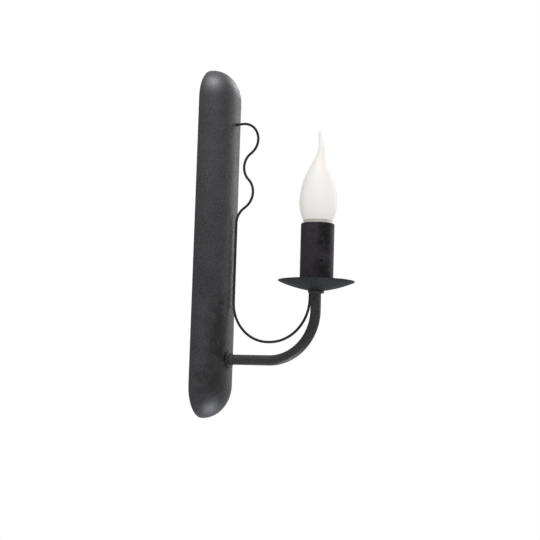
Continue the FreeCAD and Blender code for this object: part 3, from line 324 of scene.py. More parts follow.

# %% [markdown]
# Patches of painted shade darken the coat and make it glossier at listed places. Such a place is local, so
# this group takes its centre and its reach as inputs: the distance from the centre, stretched along the
# height and frayed by noise, becomes a mask with a soft border.

# %% Painted shade patches
def build_painted_shade_place():
    sockets = {"Across": 0.0, "Off wall": 0.0, "Height": 0.0, "Half width": 0.01, "Half length": 0.02}
    group, given, out = new_group("painted_shade_place", sockets, ["Handled"])
    asked = given.outputs
    place = object_place(group)
    centre = three_numbers(group, asked["Across"], asked["Off wall"], asked["Height"])
    reach = three_numbers(group, asked["Half width"], asked["Half width"], asked["Half length"])
    offset = vector_maths(group, "SUBTRACT", place, centre)
    share = vector_maths(group, "DIVIDE", offset, reach)
    distance = vector_maths(group, "LENGTH", share)
    fray = noise_at(group, place, 130.0, 5.0, 0.6)
    inputs = {0: fray, 1: 2.6, 2: distance}
    frayed = add(group, "ShaderNodeMath", inputs, operation="MULTIPLY_ADD").outputs[0]
    group.links.new(remap(group, frayed, 1.55, 2.45, 1.0, 0.0), out.inputs["Handled"])
    return group


painted_shade_place = build_painted_shade_place()
print("group", painted_shade_place.name, "ready")

# %% [markdown]
# A scratch is a thin arc. It is where the surface cuts a thin spherical shell, and a patch around its
# middle ends it. That gives a fine line on any shape, without a picture or a mapping.

# %% Scratches
def build_scratch():
    sockets = {"Across": 0.0, "Off wall": 0.0, "Height": 0.0}
    sockets.update({"Reach": 0.008, "Bend": 0.02, "Thickness": 0.0003})
    group, given, out = new_group("scratch", sockets, ["Scratch"])
    asked = given.outputs
    place = object_place(group)
    middle = three_numbers(group, asked["Across"], asked["Off wall"], asked["Height"])
    aside = arithmetic(group, "SUBTRACT", asked["Across"], asked["Bend"])
    hub = three_numbers(group, aside, asked["Off wall"], asked["Height"])
    to_hub = vector_maths(group, "DISTANCE", place, hub)
    to_middle = vector_maths(group, "DISTANCE", place, middle)
    off_shell = arithmetic(group, "SUBTRACT", to_hub, asked["Bend"])
    off_line = add(group, "ShaderNodeMath", {0: off_shell}, operation="ABSOLUTE").outputs[0]
    thin = arithmetic(group, "LESS_THAN", off_line, asked["Thickness"])
    near = arithmetic(group, "LESS_THAN", to_middle, asked["Reach"])
    broken = noise_at(group, place, 900.0)
    line = arithmetic(group, "MULTIPLY", thin, near)
    line = arithmetic(group, "MULTIPLY", line, remap(group, broken, 0.35, 0.6))
    group.links.new(line, out.inputs["Scratch"])
    return group


scratch = build_scratch()
print("group", scratch.name, "ready")

# %% [markdown]
# ## Starting a material
# Every finish starts in the same way: a material with a main shader, and a slot that says which finish of
# the record it is. Two finishes can share a slot, where one process leaves a turned ring and a tube a
# little different.

# %% Starting a material
def start_material(name, slot=None):
    """A new material, its tree and its main shader. Its slot has its name unless another is given."""
    material = bpy.data.materials.new(f"{name}_finish")
    material["slot"] = slot or name
    material.use_nodes = True
    tree = material.node_tree
    return material, tree, tree.nodes["Principled BSDF"]


def opaque(colour):
    return (*colour, 1.0)


print("materials can be started")

# %% [markdown]
# Scratches and patches of painted shade are listed piece by piece, in millimetres, and each becomes a mask.
# Adding the masks up would make overlapping marks too strong, so at each point only the strongest one counts.

# %% Scratches and painted shade
SHADE_PATCH_SIZES = ("across", "off_wall", "height", "half_width", "half_length")
SCRATCH_SIZES = ("across", "off_wall", "height", "reach", "bend", "thickness")


def in_metres(names, sizes):
    return {name: size * MM for name, size in zip(names, sizes)}


def strongest(tree, masks):
    joined = masks[0]
    for mask in masks[1:]:
        joined = arithmetic(tree, "MAXIMUM", joined, mask)
    return joined


def painted_shade_mask(tree, places):
    """The painted shade patches of one piece. Each gives the patch sizes, and then its strength."""
    masks = []
    for *sizes, strength in places:
        mask = use(tree, painted_shade_place, **in_metres(SHADE_PATCH_SIZES, sizes))["Handled"]
        masks.append(arithmetic(tree, "MULTIPLY", mask, strength))
    return strongest(tree, masks)


def scratch_mask(tree, lines):
    """The scratches of one piece. Each gives the scratch sizes."""
    masks = [use(tree, scratch, **in_metres(SCRATCH_SIZES, sizes))["Scratch"] for sizes in lines]
    return strongest(tree, masks)


print("marks take", len(SHADE_PATCH_SIZES), "and", len(SCRATCH_SIZES), "sizes")

# %% [markdown]
# ## The black coats
# Plate, arm, pan, sleeve and wire are all coated black, but not alike: the plate is the greyest and
# sandiest, the pan is a touch bluer, the sleeve and the wire are nearly black. One function builds them
# all, because they are one process with different settings. A coated surface is a rough non-metal: its
# paint is very dark and most of what the eye gets is the wide, soft mirror of the room.

# %% Powder coat
# The first colour below is painted shade, used for the darker patches of a coat.
PAINTED_SHADE_BLACK = (0.003, 0.003, 0.004)
SCRATCH_GREY = (0.13, 0.125, 0.12)
DUST_GREY = (0.42, 0.41, 0.39)
SHEEN_SWING = 0.08
CLOUD_SHEEN = 0.06
POLISH = 0.08
WEAR_SHARE = 0.7


def powder_coat(name, colours, roughness, grain, mirror=0.25, patches=30.0, contrast=1.0,
                dust=0.05, rubbed=1.0, painted_shade=(), scratches=(), slot=None):
    """A sandy dark coat. Its colours are for thin, thick and worn paint.

    The grain is specks in a metre, pimples in a metre and the pimples' height. Listed patches are
    painted shade, and rubbed above 1 paints a highlight on the edges, brighter than their wear.
    """
    thin, thick, worn = colours
    specks, pimples, pimple_height = grain
    material, tree, shader = start_material(name, slot)
    shader.inputs["Specular IOR Level"].default_value = mirror
    sand = use(tree, sandy_grain, specks_per_metre=specks, pimples_per_metre=pimples)
    cloud = use(tree, cloudy_coat, patches_per_metre=patches, contrast=contrast)["Cloud"]
    pointiness = add(tree, "ShaderNodeNewGeometry").outputs["Pointiness"]
    wear = use(tree, rubbed_edge, pointiness=pointiness)["Wear"]
    settled = use(tree, settled_dust, amount=dust)["Dust"]
    coat = mix_colours(tree, cloud, opaque(thick), opaque(thin))
    speckle = remap(tree, sand["Tone"], 0.25, 1.0, 0.0, 0.75)
    colour = mix_colours(tree, speckle, coat, opaque(worn))
    sheen = remap(tree, sand["Tone"], 0.0, 1.2, roughness + SHEEN_SWING, roughness - SHEEN_SWING)
    sheen = arithmetic(tree, "ADD", sheen, arithmetic(tree, "MULTIPLY", cloud, CLOUD_SHEEN))
    # Painted shade: listed patches darken the colour and lower the roughness.
    if painted_shade:
        shade_and_polish = painted_shade_mask(tree, painted_shade)
        colour = mix_colours(tree, shade_and_polish, colour, opaque(PAINTED_SHADE_BLACK))
        sheen = arithmetic(tree, "SUBTRACT", sheen, arithmetic(tree, "MULTIPLY", shade_and_polish, POLISH))
    if scratches:
        colour = mix_colours(tree, scratch_mask(tree, scratches), colour, opaque(SCRATCH_GREY))
    # Painted highlight: where rubbed is above 1, the worn colour of the edges is brightened into a glint.
    worn_edge_and_glint = opaque(rubbed * channel for channel in worn)
    colour = mix_colours(tree, arithmetic(tree, "MULTIPLY", wear, WEAR_SHARE), colour, worn_edge_and_glint)
    colour = mix_colours(tree, settled, colour, opaque(DUST_GREY))
    tree.links.new(colour, shader.inputs["Base Color"])
    tree.links.new(sheen, shader.inputs["Roughness"])
    relief(tree, shader, sand["Height"], 1.0, pimple_height)
    return material


print("powder coat ready")

# %% [markdown]
# The plate's coat carries painted shade, darker below the arm's height and near the top, and a few
# fine scratches. Their places could be left to chance, but listed ones sit where they
# belong.

# %% Plate coat
COARSE_GRAIN = (640, 2300, 0.035 * MM)
# Patches of painted shade: across, off the wall, height, half width and half length in mm, then strength.
PLATE_PAINTED_SHADE = [
    (-15, -24, -84, 13, 32, 0.85),
    (-12, -26, -105, 16, 22, 1.0),
    (-15, -23, -137, 19, 26, 0.85),
    (-13, -25, 130, 11, 26, 0.35),
    (-4, -28, 113, 3, 5, 0.7),
    (-24, -14, -38, 10, 14, 0.3),
]
PLATE_SCRATCHES = [
    (-8, -27.3, -69, 7, 16, 0.12),
    (-17, -22.9, -98, 1.3, 6, 0.16),
    (-15.6, -23.8, -101, 0.9, 5, 0.16),
    (9, -27, 31, 6, 30, 0.10),
    (-26, -11.5, 64, 4, 12, 0.10),
]
plate_black = powder_coat(
    "plate_black",
    [(0.021, 0.020, 0.022), (0.012, 0.012, 0.014), (0.071, 0.069, 0.075)],
    0.45, COARSE_GRAIN, patches=44, contrast=1.7, painted_shade=PLATE_PAINTED_SHADE, scratches=PLATE_SCRATCHES,
)
print("plate coat has", len(PLATE_PAINTED_SHADE), "painted shade patches and", len(PLATE_SCRATCHES), "scratches")

# %% [markdown]
# The other coats differ in grain, depth and gloss. Tube and sleeve have a finer grain than the plate, the
# wire the finest, since a thin rod takes little powder. Turned rings have a painted highlight along their
# edges, their worn colour made brighter there, and the small screw is a smooth oxide rather than powder.

# %% Other coats
FINE_GRAIN = (900, 2800, 0.022 * MM)
WIRE_GRAIN = (1300, 3400, 0.014 * MM)
SCREW_GRAIN = (2600, 6000, 0.01 * MM)
tube_black = powder_coat(
    "tube_black",
    [(0.019, 0.018, 0.022), (0.011, 0.011, 0.0135), (0.056, 0.055, 0.064)],
    0.42, FINE_GRAIN, mirror=0.2,
)
ring_black = powder_coat(
    "ring_black",
    [(0.017, 0.017, 0.019), (0.010, 0.010, 0.012), (0.056, 0.055, 0.062)],
    # Rubbed at 3.5 paints a bright highlight along the rings' edges.
    0.42, FINE_GRAIN, mirror=0.15, rubbed=3.5, slot="tube_black",
)
wire_black = powder_coat(
    "wire_black",
    [(0.028, 0.028, 0.029), (0.019, 0.019, 0.020), (0.056, 0.056, 0.058)],
    0.55, WIRE_GRAIN, mirror=0.015,
)
pan_black = powder_coat(
    "pan_black",
    [(0.009, 0.010, 0.014), (0.003, 0.004, 0.006), (0.037, 0.041, 0.051)],
    0.58, COARSE_GRAIN, mirror=0.08, patches=60, contrast=1.2, dust=0.07,
)
sleeve_black = powder_coat(
    "sleeve_black",
    [(0.027, 0.024, 0.029), (0.016, 0.014, 0.017), (0.060, 0.055, 0.064)],
    0.55, FINE_GRAIN, mirror=0.06, patches=45, contrast=1.4,
    # Two patches of painted shade on the sleeve.
    painted_shade=[(-4, -135, 2, 15, 20, 1.0), (-9, -132, -33, 14, 16, 0.8)],
)
black_screw = powder_coat(
    "black_screw",
    [(0.003, 0.003, 0.003), (0.002, 0.002, 0.002), (0.008, 0.008, 0.008)],
    0.5, SCREW_GRAIN, mirror=0.04, dust=0.0,
)
print("coats:", [coat.name for coat in (tube_black, ring_black, wire_black, pan_black, sleeve_black)])

# %% [markdown]
# ## Bare metals
# Behind the plate the bars, nuts and screws are zinc-plated, the clamps and contacts are brass, and the
# bulb's cap is nickel. Metals get their colour from their mirror, so what varies is how rough that mirror
# is: cloudy plating, fine drawing lines, and a warmer tarnish in patches.

# %% Metals
DRAWN_ALONG = (1.0, 1.0, 14.0)


def bare_metal(name, bright, tarnished, roughness, lines_per_metre):
    material, tree, shader = start_material(name)
    shader.inputs["Metallic"].default_value = 1.0
    stretched = {"Vector": object_place(tree), "Scale": DRAWN_ALONG}
    drawn = add(tree, "ShaderNodeMapping", stretched).outputs["Vector"]
    lines = noise_at(tree, drawn, lines_per_metre)
    cloud = use(tree, cloudy_coat, patches_per_metre=140.0, contrast=1.0)["Cloud"]
    colour = mix_colours(tree, cloud, opaque(bright), opaque(tarnished))
    tree.links.new(colour, shader.inputs["Base Color"])
    rough = remap(tree, lines, 0.3, 0.7, roughness - 0.06, roughness + 0.08)
    rough = arithmetic(tree, "ADD", rough, arithmetic(tree, "MULTIPLY", cloud, 0.10))
    tree.links.new(rough, shader.inputs["Roughness"])
    relief(tree, shader, lines, 0.25, 0.01 * MM)
    return material


zinc_steel = bare_metal("zinc_steel", (0.66, 0.66, 0.65), (0.50, 0.50, 0.47), 0.34, 700)
brass = bare_metal("brass", (0.80, 0.60, 0.27), (0.56, 0.38, 0.16), 0.28, 900)
nickel_cap = bare_metal("nickel_cap", (0.70, 0.68, 0.64), (0.56, 0.53, 0.48), 0.26, 900)
board_white = bare_metal("board_white", (0.84, 0.84, 0.82), (0.78, 0.78, 0.75), 0.45, 500)
print("metals:", [metal.name for metal in (zinc_steel, brass, nickel_cap, board_white)])

# %% [markdown]
# ## Moulded plastics
# The lampholder, the terminal block, the bulb's collar and the leads are moulded. Moulded plastic shows a
# fine orange-peel skin and a faint change of gloss, and the pale ones let a little light in under the
# surface.

# %% Plastics
SKIN_DEPTH = 0.4 * MM
PALER = 1.15
PALE_LIFT = 0.02


def moulded(name, colour, deeper, roughness, peel_per_metre, under_skin=0.0):
    material, tree, shader = start_material(name)
    shader.inputs["Subsurface Weight"].default_value = under_skin
    shader.inputs["Subsurface Scale"].default_value = SKIN_DEPTH
    cloud = use(tree, cloudy_coat, patches_per_metre=90.0, contrast=0.8)["Cloud"]
    pointiness = add(tree, "ShaderNodeNewGeometry").outputs["Pointiness"]
    wear = use(tree, rubbed_edge, pointiness=pointiness)["Wear"]
    skin = mix_colours(tree, cloud, opaque(colour), opaque(deeper))
    paler = tuple(min(1.0, channel * PALER + PALE_LIFT) for channel in colour)
    edged = mix_colours(tree, arithmetic(tree, "MULTIPLY", wear, 0.5), skin, opaque(paler))
    tree.links.new(edged, shader.inputs["Base Color"])
    peel = noise_at(tree, object_place(tree), peel_per_metre)
    rough = remap(tree, peel, 0.3, 0.7, roughness - 0.05, roughness + 0.05)
    tree.links.new(rough, shader.inputs["Roughness"])
    relief(tree, shader, peel, 0.2, 0.02 * MM)
    return material


natural_nylon = moulded("natural_nylon", (0.84, 0.83, 0.78), (0.78, 0.76, 0.70), 0.42, 1500, 0.25)
holder_plastic = moulded("holder_plastic", (0.030, 0.030, 0.032), (0.022, 0.022, 0.023), 0.38, 1800)
bulb_plastic = moulded("bulb_plastic", (0.50, 0.485, 0.46), (0.43, 0.415, 0.39), 0.45, 1400, 0.15)
brown_insulation = moulded("brown_insulation", (0.20, 0.085, 0.035), (0.15, 0.06, 0.025), 0.28, 2200)
blue_insulation = moulded("blue_insulation", (0.035, 0.14, 0.42), (0.025, 0.10, 0.33), 0.28, 2200)
black_glass = moulded("black_glass", (0.012, 0.012, 0.014), (0.008, 0.008, 0.009), 0.12, 900)
led_yellow = moulded("led_yellow", (0.86, 0.68, 0.14), (0.80, 0.58, 0.10), 0.35, 3000, 0.2)
board_green = moulded("board_green", (0.05, 0.22, 0.10), (0.03, 0.15, 0.07), 0.3, 1200)
print("plastics:", [plastic.name for plastic in (natural_nylon, holder_plastic, bulb_plastic)])

# %% [markdown]
# ## Frosted glass
# The bulb is glass with a white frosting inside. Light goes in, scatters and comes out again nearby, so it
# looks milky and softly lit all over. Subsurface scattering does that, with nearly the same reach for all
# three colours, because this white isn't skin or wax. The outer face stays glossy under a thin haze.

# %% Frosted glass
FROST_WHITE = (0.93, 0.905, 0.87)
FROST_SHADE = (0.90, 0.875, 0.84)


def frosted():
    material, tree, shader = start_material("frosted_glass")
    shader.inputs["Subsurface Weight"].default_value = 0.15
    shader.inputs["Subsurface Radius"].default_value = (1.0, 0.95, 0.9)
    shader.inputs["Subsurface Scale"].default_value = 1.5 * MM
    shader.inputs["Transmission Weight"].default_value = 0.03
    shader.inputs["Specular IOR Level"].default_value = 0.15
    cloud = use(tree, cloudy_coat, patches_per_metre=55.0, contrast=0.7)["Cloud"]
    share = arithmetic(tree, "MULTIPLY", cloud, 0.5)
    colour = mix_colours(tree, share, opaque(FROST_WHITE), opaque(FROST_SHADE))
    tree.links.new(colour, shader.inputs["Base Color"])
    frost = noise_at(tree, object_place(tree), 1900.0)
    tree.links.new(remap(tree, frost, 0.3, 0.7, 0.50, 0.62), shader.inputs["Roughness"])
    relief(tree, shader, frost, 0.12, 0.01 * MM)
    return material


frosted_glass = frosted()
print("glass ready")

# %% [markdown]
# ## Mesh helpers
# Most of this lamp is turned or spun, so the main tool is a lathe: an outline of radius and height, carried
# round an axis. Machined and stamped edges are never knife-sharp, and a rounded edge is what catches the
# light, so outlines are given as corners with a radius and the arcs are worked out.

# %% Rounded outlines
def rounded(corners, steps=5):
    """A closed outline. A corner is (radius, height) or (radius, height, rounding)."""
    points = []
    for index, corner in enumerate(corners):
        here = Vector(corner[:2])
        if len(corner) == 2:
            points.append(here)
            continue
        before = (Vector(corners[index - 1][:2]) - here).normalized()
        after = (Vector(corners[(index + 1) % len(corners)][:2]) - here).normalized()
        half = before.angle(after) / 2
        centre = here + (before + after).normalized() * corner[2] / math.sin(half)
        first = here + before * corner[2] / math.tan(half) - centre
        last = here + after * corner[2] / math.tan(half) - centre
        for step in range(steps + 1):
            points.append(centre + first.lerp(last, step / steps).normalized() * corner[2])
    return points


square = [(1, 0, 0.1), (2, 0, 0.1), (2, 1, 0.1), (1, 1, 0.1)]
print("a square with rounded corners has", len(rounded(square)), "points")

# %% [markdown]
# Each new mesh is merged where points meet, its faces are turned outwards, and it is shaded smooth except
# at corners sharper than the angle given.

# %% Making a mesh
SHARP = math.radians(38)
MERGE = 1e-7


def new_piece(name, vertices, faces):
    mesh = bpy.data.meshes.new(name)
    mesh.from_pydata([tuple(vertex) for vertex in vertices], [], faces)
    shape = bmesh.new()
    shape.from_mesh(mesh)
    bmesh.ops.remove_doubles(shape, verts=shape.verts, dist=MERGE)
    bmesh.ops.dissolve_degenerate(shape, edges=shape.edges, dist=MERGE)
    bmesh.ops.recalc_face_normals(shape, faces=shape.faces)
    shape.to_mesh(mesh)
    shape.free()
    piece = bpy.data.objects.new(name, mesh)
    scene.collection.objects.link(piece)
    return smooth(piece)


def smooth(piece):
    for face in piece.data.polygons:
        face.use_smooth = True
    piece.data.set_sharp_from_angle(angle=SHARP)
    return piece


print("corners sharper than", round(math.degrees(SHARP)), "degrees stay crisp")

# %% [markdown]
# The lathe itself carries an outline round an axis in equal steps and joins each step to the next. A
# modifier could do it too, but a list of points can also change with the angle, which a thread and a
# hexagon need. The pieces on the candle's axis stand upright, and those on the plate are turned to point
# off the wall.

# %% Lathe
def rings_to_faces(rings, sides):
    """Quads between closed rings that follow each other, all of the same number of points."""
    faces = []
    for ring in range(rings - 1):
        here = ring * sides
        above = here + sides
        for side in range(sides):
            after = (side + 1) % sides
            faces.append((here + side, here + after, above + after, above + side))
    return faces


def turned(name, outline, place, segments=96):
    """An outline carried round the place's own Z axis. The outline is a list, or a function of the angle."""
    vertices = []
    for segment in range(segments + 1):
        angle = 2 * math.pi * segment / segments
        section = outline(angle) if callable(outline) else outline
        spoke = Vector((math.cos(angle), math.sin(angle), 0))
        vertices += [place @ (spoke * radius + Vector((0, 0, height))) for radius, height in section]
    return new_piece(name, vertices, rings_to_faces(segments + 1, len(section)))


def upright(height):
    """A place on the candle's axis at that height."""
    return Matrix.Translation((0, candle_y, height))


OUTWARDS = Matrix.Rotation(math.pi / 2, 4, "X")
print("lathe ready")

# %% [markdown]
# A second helper carves one shape out of another, as a drill or a saw does, and a third lays a round bead
# along a line, with a radius that may change on the way.

# %% Carving and beads
def carve(piece, cutter):
    """Takes the cutter out of the piece and throws the cutter away."""
    step = piece.modifiers.new("carve", "BOOLEAN")
    step.operation = "DIFFERENCE"
    step.solver = "EXACT"
    step.object = cutter
    bpy.context.view_layer.update()
    evaluated = piece.evaluated_get(bpy.context.evaluated_depsgraph_get())
    carved = bpy.data.meshes.new_from_object(evaluated)
    piece.modifiers.clear()
    piece.data = carved
    bpy.data.objects.remove(cutter)
    return smooth(piece)


def pin(name, radius, low, high, place, segments=64):
    """A plain round bar from low to high on the place's Z axis, used as a cutter."""
    return turned(name, [(0, low), (radius, low), (radius, high), (0, high)], place, segments)


def bead(name, points, radius_at, sides=16):
    """A round bead along a line of points; radius_at gives its radius at a share of the way, 0 to 1."""
    vertices = []
    last = len(points) - 1
    for index, point in enumerate(points):
        along = (points[min(index + 1, last)] - points[max(index - 1, 0)]).normalized()
        across = along.orthogonal().normalized()
        other = along.cross(across)
        radius = radius_at(index / last)
        for side in range(sides):
            angle = 2 * math.pi * side / sides
            vertices.append(point + (across * math.cos(angle) + other * math.sin(angle)) * radius)
    return new_piece(name, vertices, rings_to_faces(len(points), sides))


def dress(piece, material, body, *stands_for):
    """Gives a finished piece its material, its body and the nodes that it stands for."""
    piece.data.materials.clear()
    piece.data.materials.append(material)
    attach(piece, body)
    if stands_for:
        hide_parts(*stands_for)
    return piece


print("carving and beads ready")

# %% [markdown]
# ## The wall plate
# The plate is a half tube of sheet steel whose ends are drawn into domes. Its outline along its height is a
# straight run with a quarter ellipse at each end, and each level is a half circle. A tube with two spheres
# stuck on would leave a seam where they meet, so the outline is worked out level by level instead, for the
# outside and the inside at once.

# %% Plate outline
PLATE_GAUGE = 1.5 * MM
PLATE_DOME = 32.7 * MM
DOME_ROWS = 28
RUN_ROWS = 96


def plate_rows():
    """(outer radius, outer height, inner radius, inner height) from the upper tip to the lower one."""
    tip = plate_high.z
    shoulder = tip - PLATE_DOME
    inner_radius = plate_radius - PLATE_GAUGE
    inner_tip = tip - PLATE_GAUGE
    dome = []
    for step in range(DOME_ROWS + 1):
        angle = math.pi / 2 * step / DOME_ROWS
        out = math.sin(angle)
        up = math.cos(angle)
        dome.append((
            plate_radius * out, shoulder + (tip - shoulder) * up,
            inner_radius * out, shoulder + (inner_tip - shoulder) * up,
        ))
    run = [1 - 2 * step / RUN_ROWS for step in range(1, RUN_ROWS)]
    straight = [(plate_radius, shoulder * share, inner_radius, shoulder * share) for share in run]
    lower = [(outer, -top, inner, -under) for outer, top, inner, under in reversed(dome)]
    return dome + straight + lower


print("plate outline has", len(plate_rows()), "levels")

# %% [markdown]
# Where the sheet meets the wall, its cut edge is rubbed to a small radius on both sides. The edge is a row
# of points across the sheet's thickness. Near the tips the sheet gets narrower than the edge is round, so
# there the radius shrinks with it.

# %% Plate rim
RIM_ROUND = 0.5 * MM
NARROW_RIM = 0.8
RIM_STEPS = 4


def rim(outer, inner, rounding, gauge):
    """Points across the sheet's thickness at the wall, from outside to inside, with both edges rounded."""
    points = []
    for step in range(1, RIM_STEPS + 1):
        angle = math.pi / 2 * step / RIM_STEPS
        share = rounding / gauge * (1 - math.cos(angle))
        points.append((share, -rounding * (1 - math.sin(angle))))
    both = points + [(1 - share, depth) for share, depth in reversed(points)]
    return [outer.lerp(inner, share) + Vector((0, depth, 0)) for share, depth in both]


print("rim is rounded to", RIM_ROUND / MM, "mm")

# %% [markdown]
# The sheet is one closed skin: outside, rim, inside, rim. Hand finishing leaves it a tenth of a millimetre
# uneven, and that is what makes its reflections wander. A bump in the finish would shade the surface but
# leave its mirror images straight at the outline, so the points themselves move, by smooth noise.

# %% Plate sheet
PLATE_COLUMNS = 72
DENT_DEPTH = 0.12 * MM
DENT_SIZE = 22 * MM


def plate_level(row):
    """One level of the sheet as a closed ring: outside, rim, inside, rim."""
    outer, outer_z, inner, inner_z = row
    rounding = min(RIM_ROUND, outer * NARROW_RIM, inner * NARROW_RIM)
    ring = []
    for radius, level, order in ((outer, outer_z, 1), (inner, inner_z, -1)):
        start = math.asin(rounding / radius) if radius > MERGE else 0
        arc = []
        for column in range(PLATE_COLUMNS + 1):
            angle = start + (math.pi - 2 * start) * column / PLATE_COLUMNS
            spoke = Vector((math.cos(angle), -math.sin(angle), 0))
            place = Vector((spoke.x * plate_radius, spoke.y * plate_radius, outer_z))
            dent = noise.noise(place / DENT_SIZE) * DENT_DEPTH * math.sin(angle)
            dent *= min(1, outer / plate_radius)
            arc.append(spoke * (radius - abs(dent)) + Vector((0, 0, level)))
        ring += arc[::order]
        side = -order
        outer_rim = Vector((side * outer, 0, outer_z))
        inner_rim = Vector((side * inner, 0, inner_z))
        across = rim(outer_rim, inner_rim, rounding, PLATE_GAUGE)
        ring += across[::order]
    return ring


levels = [plate_level(row) for row in plate_rows()]
level_points = [point for ring in levels for point in ring]
plate = new_piece("plate_shell", level_points, rings_to_faces(len(levels), len(levels[0])))
print("plate sheet has", len(plate.data.polygons), "faces")

# %% [markdown]
# Two holes go through its crest, one for the arm and one for the wire. They are drilled with a carve, and
# their sizes come from the pieces that go through them.

# %% Plate holes
HOLE_FIT = 0.1 * MM
ARM_RADIUS = 5 * MM
wire_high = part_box("scroll_wire")[1]
wire_radius = wire_high.x
arm_level = middle_and_size("arm_nut")[0].z
entry_level = wire_high.z - wire_radius

for level, radius in ((arm_level, ARM_RADIUS), (entry_level, wire_radius)):
    place = Matrix.Translation((0, 0, level)) @ OUTWARDS
    drill = pin("drill", radius + HOLE_FIT, plate_radius / 2, plate_radius * 1.5, place)
    plate = carve(plate, drill)
dress(plate, plate_black, "sconce", "wall_plate")
print("holes at", round(arm_level / MM, 1), "and", round(entry_level / MM, 1), "mm")

# %% [markdown]
# ## Drip pan, collar and sleeve
# The pan is spun from thin sheet over a form, so it is a dish of one gauge with a slope that bows slightly,
# and its rim is cut and rubbed round. Its bow is a shallow arc through three points.

# %% Drip pan
PAN_GAUGE = 0.8 * MM
PAN_FLAT = 9 * MM
PAN_RISE = 8.3 * MM
PAN_BOW = 0.85 * MM
PAN_STEPS = 40
PAN_RIM_STEPS = 8
PAN_SEGMENTS = 160
SPIN_MARKS = 11
SPIN_DEPTH = 0.035 * MM
THREAD_BORE = 5.05 * MM
pan_low, pan_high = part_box("drip_pan")
pan_radius = pan_high.x


def pan_slope(height):
    """The pan's slope from its flat middle to its rim, at a height above the underside."""
    chord = Vector((pan_radius - PAN_FLAT, PAN_RISE))
    out = Vector((chord.y, -chord.x)).normalized()
    points = []
    for step in range(PAN_STEPS + 1):
        share = step / PAN_STEPS
        bow = PAN_BOW * (1 - (2 * share - 1) ** 2)
        ripple = SPIN_DEPTH * math.sin(share * SPIN_MARKS * 2 * math.pi) * math.sin(share * math.pi)
        points.append(Vector((PAN_FLAT, height)) + chord * share + out * (bow + ripple))
    return points


def pan_outline():
    under = pan_slope(0)
    top = pan_slope(PAN_GAUGE)
    rim_middle = (under[-1] + top[-1]) / 2
    half = PAN_GAUGE / 2
    bead_round = []
    for step in range(1, PAN_RIM_STEPS):
        angle = -math.pi / 2 + math.pi * step / PAN_RIM_STEPS
        bead_round.append(rim_middle + Vector((math.cos(angle) * half - half, math.sin(angle) * half)))
    pulled_under = [point for point in under if point.x < pan_radius - half]
    pulled_top = [point for point in top if point.x < pan_radius - half]
    inner = [Vector((THREAD_BORE, PAN_GAUGE)), Vector((THREAD_BORE, 0))]
    return pulled_under + bead_round + pulled_top[::-1] + inner


pan = turned("pan_dish", pan_outline(), upright(pan_low.z), PAN_SEGMENTS)
dress(pan, pan_black, "sconce", "drip_pan")
print("pan", round(pan_radius * 2 / MM, 1), "mm across,", len(pan.data.polygons), "faces")

# %% [markdown]
# The collar under the pan and the washer at the plate are turned rings. Both get a bevel on the side that
# shows and a broken edge elsewhere.

# %% Collar and washer
EDGE = 0.25 * MM
COLLAR_BEVEL = 0.5 * MM
WASHER_BEVEL = 0.35 * MM


def ring_outline(bore, radius, height, show_bevel):
    return rounded([
        (bore, 0, EDGE / 2),
        (radius - show_bevel, 0, EDGE / 2),
        (radius, show_bevel, EDGE / 2),
        (radius, height, EDGE),
        (bore, height, EDGE / 2),
    ])


collar_low, collar_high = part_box("pan_collar")
collar_radius = collar_high.x
collar_height = collar_high.z - collar_low.z
collar_outline = ring_outline(THREAD_BORE, collar_radius, collar_height, COLLAR_BEVEL)
collar = turned("pan_ring", collar_outline, upright(collar_low.z))
dress(collar, ring_black, "sconce", "pan_collar")

washer_low, washer_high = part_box("arm_washer")
washer_height = washer_high.y - washer_low.y
washer_ring = ring_outline(THREAD_BORE, washer_high.x, washer_height, WASHER_BEVEL)
washer_outline = [(radius, washer_height - height) for radius, height in washer_ring]
washer_place = Matrix.Translation((0, washer_high.y, arm_level)) @ OUTWARDS
washer = turned("root_washer", washer_outline, washer_place)
dress(washer, ring_black, "sconce", "arm_washer")
print("collar", round(collar_radius * 2 / MM, 1), "mm, washer", round(washer_high.x * 2 / MM, 1), "mm across")

# %% [markdown]
# The sleeve is a plain tube that imitates the candle. Its cut ends are deburred, and a small hole in its
# side lets the set screw through. The hole is carved in the direction of the screw that the solids hold.

# %% Candle sleeve
def with_rows(outline, longest):
    """The outline with points added on its long runs, so that a hole disturbs only its surroundings."""
    points = []
    for index, here in enumerate(outline):
        onwards = outline[(index + 1) % len(outline)]
        count = math.ceil((onwards - here).length / longest)
        points += [here.lerp(onwards, step / count) for step in range(max(1, count))]
    return points


SLEEVE_WALL = 1 * MM
SLEEVE_ROW = 2 * MM
SLEEVE_SEGMENTS = 144
SCREW_HOLE = 1.35 * MM
DRILL_REACH = 3 * MM
sleeve_low, sleeve_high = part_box("candle_sleeve")
sleeve_height = sleeve_high.z - sleeve_low.z
sleeve_outline = rounded([
    (sleeve_radius - SLEEVE_WALL, 0, 0.2 * MM),
    (sleeve_radius, 0, 0.3 * MM),
    (sleeve_radius, sleeve_height, 0.4 * MM),
    (sleeve_radius - SLEEVE_WALL, sleeve_height, 0.3 * MM),
])
sleeve_rows = with_rows(sleeve_outline, SLEEVE_ROW)
sleeve = turned("candle_tube", sleeve_rows, upright(sleeve_low.z), SLEEVE_SEGMENTS)

screw_middle = middle_and_size("sleeve_screw")[0]
screw_way = Vector((screw_middle.x, screw_middle.y - candle_y, 0)).normalized()
screw_turn = screw_way.to_track_quat("Z", "Y").to_matrix().to_4x4()
screw_place = Matrix.Translation((0, candle_y, screw_middle.z)) @ screw_turn
near = sleeve_radius - DRILL_REACH
far = sleeve_radius + DRILL_REACH
carve(sleeve, pin("drill", SCREW_HOLE, near, far, screw_place, 32))
dress(sleeve, sleeve_black, "sconce", "candle_sleeve")
print("sleeve", round(sleeve_size.z / MM, 1), "mm long")

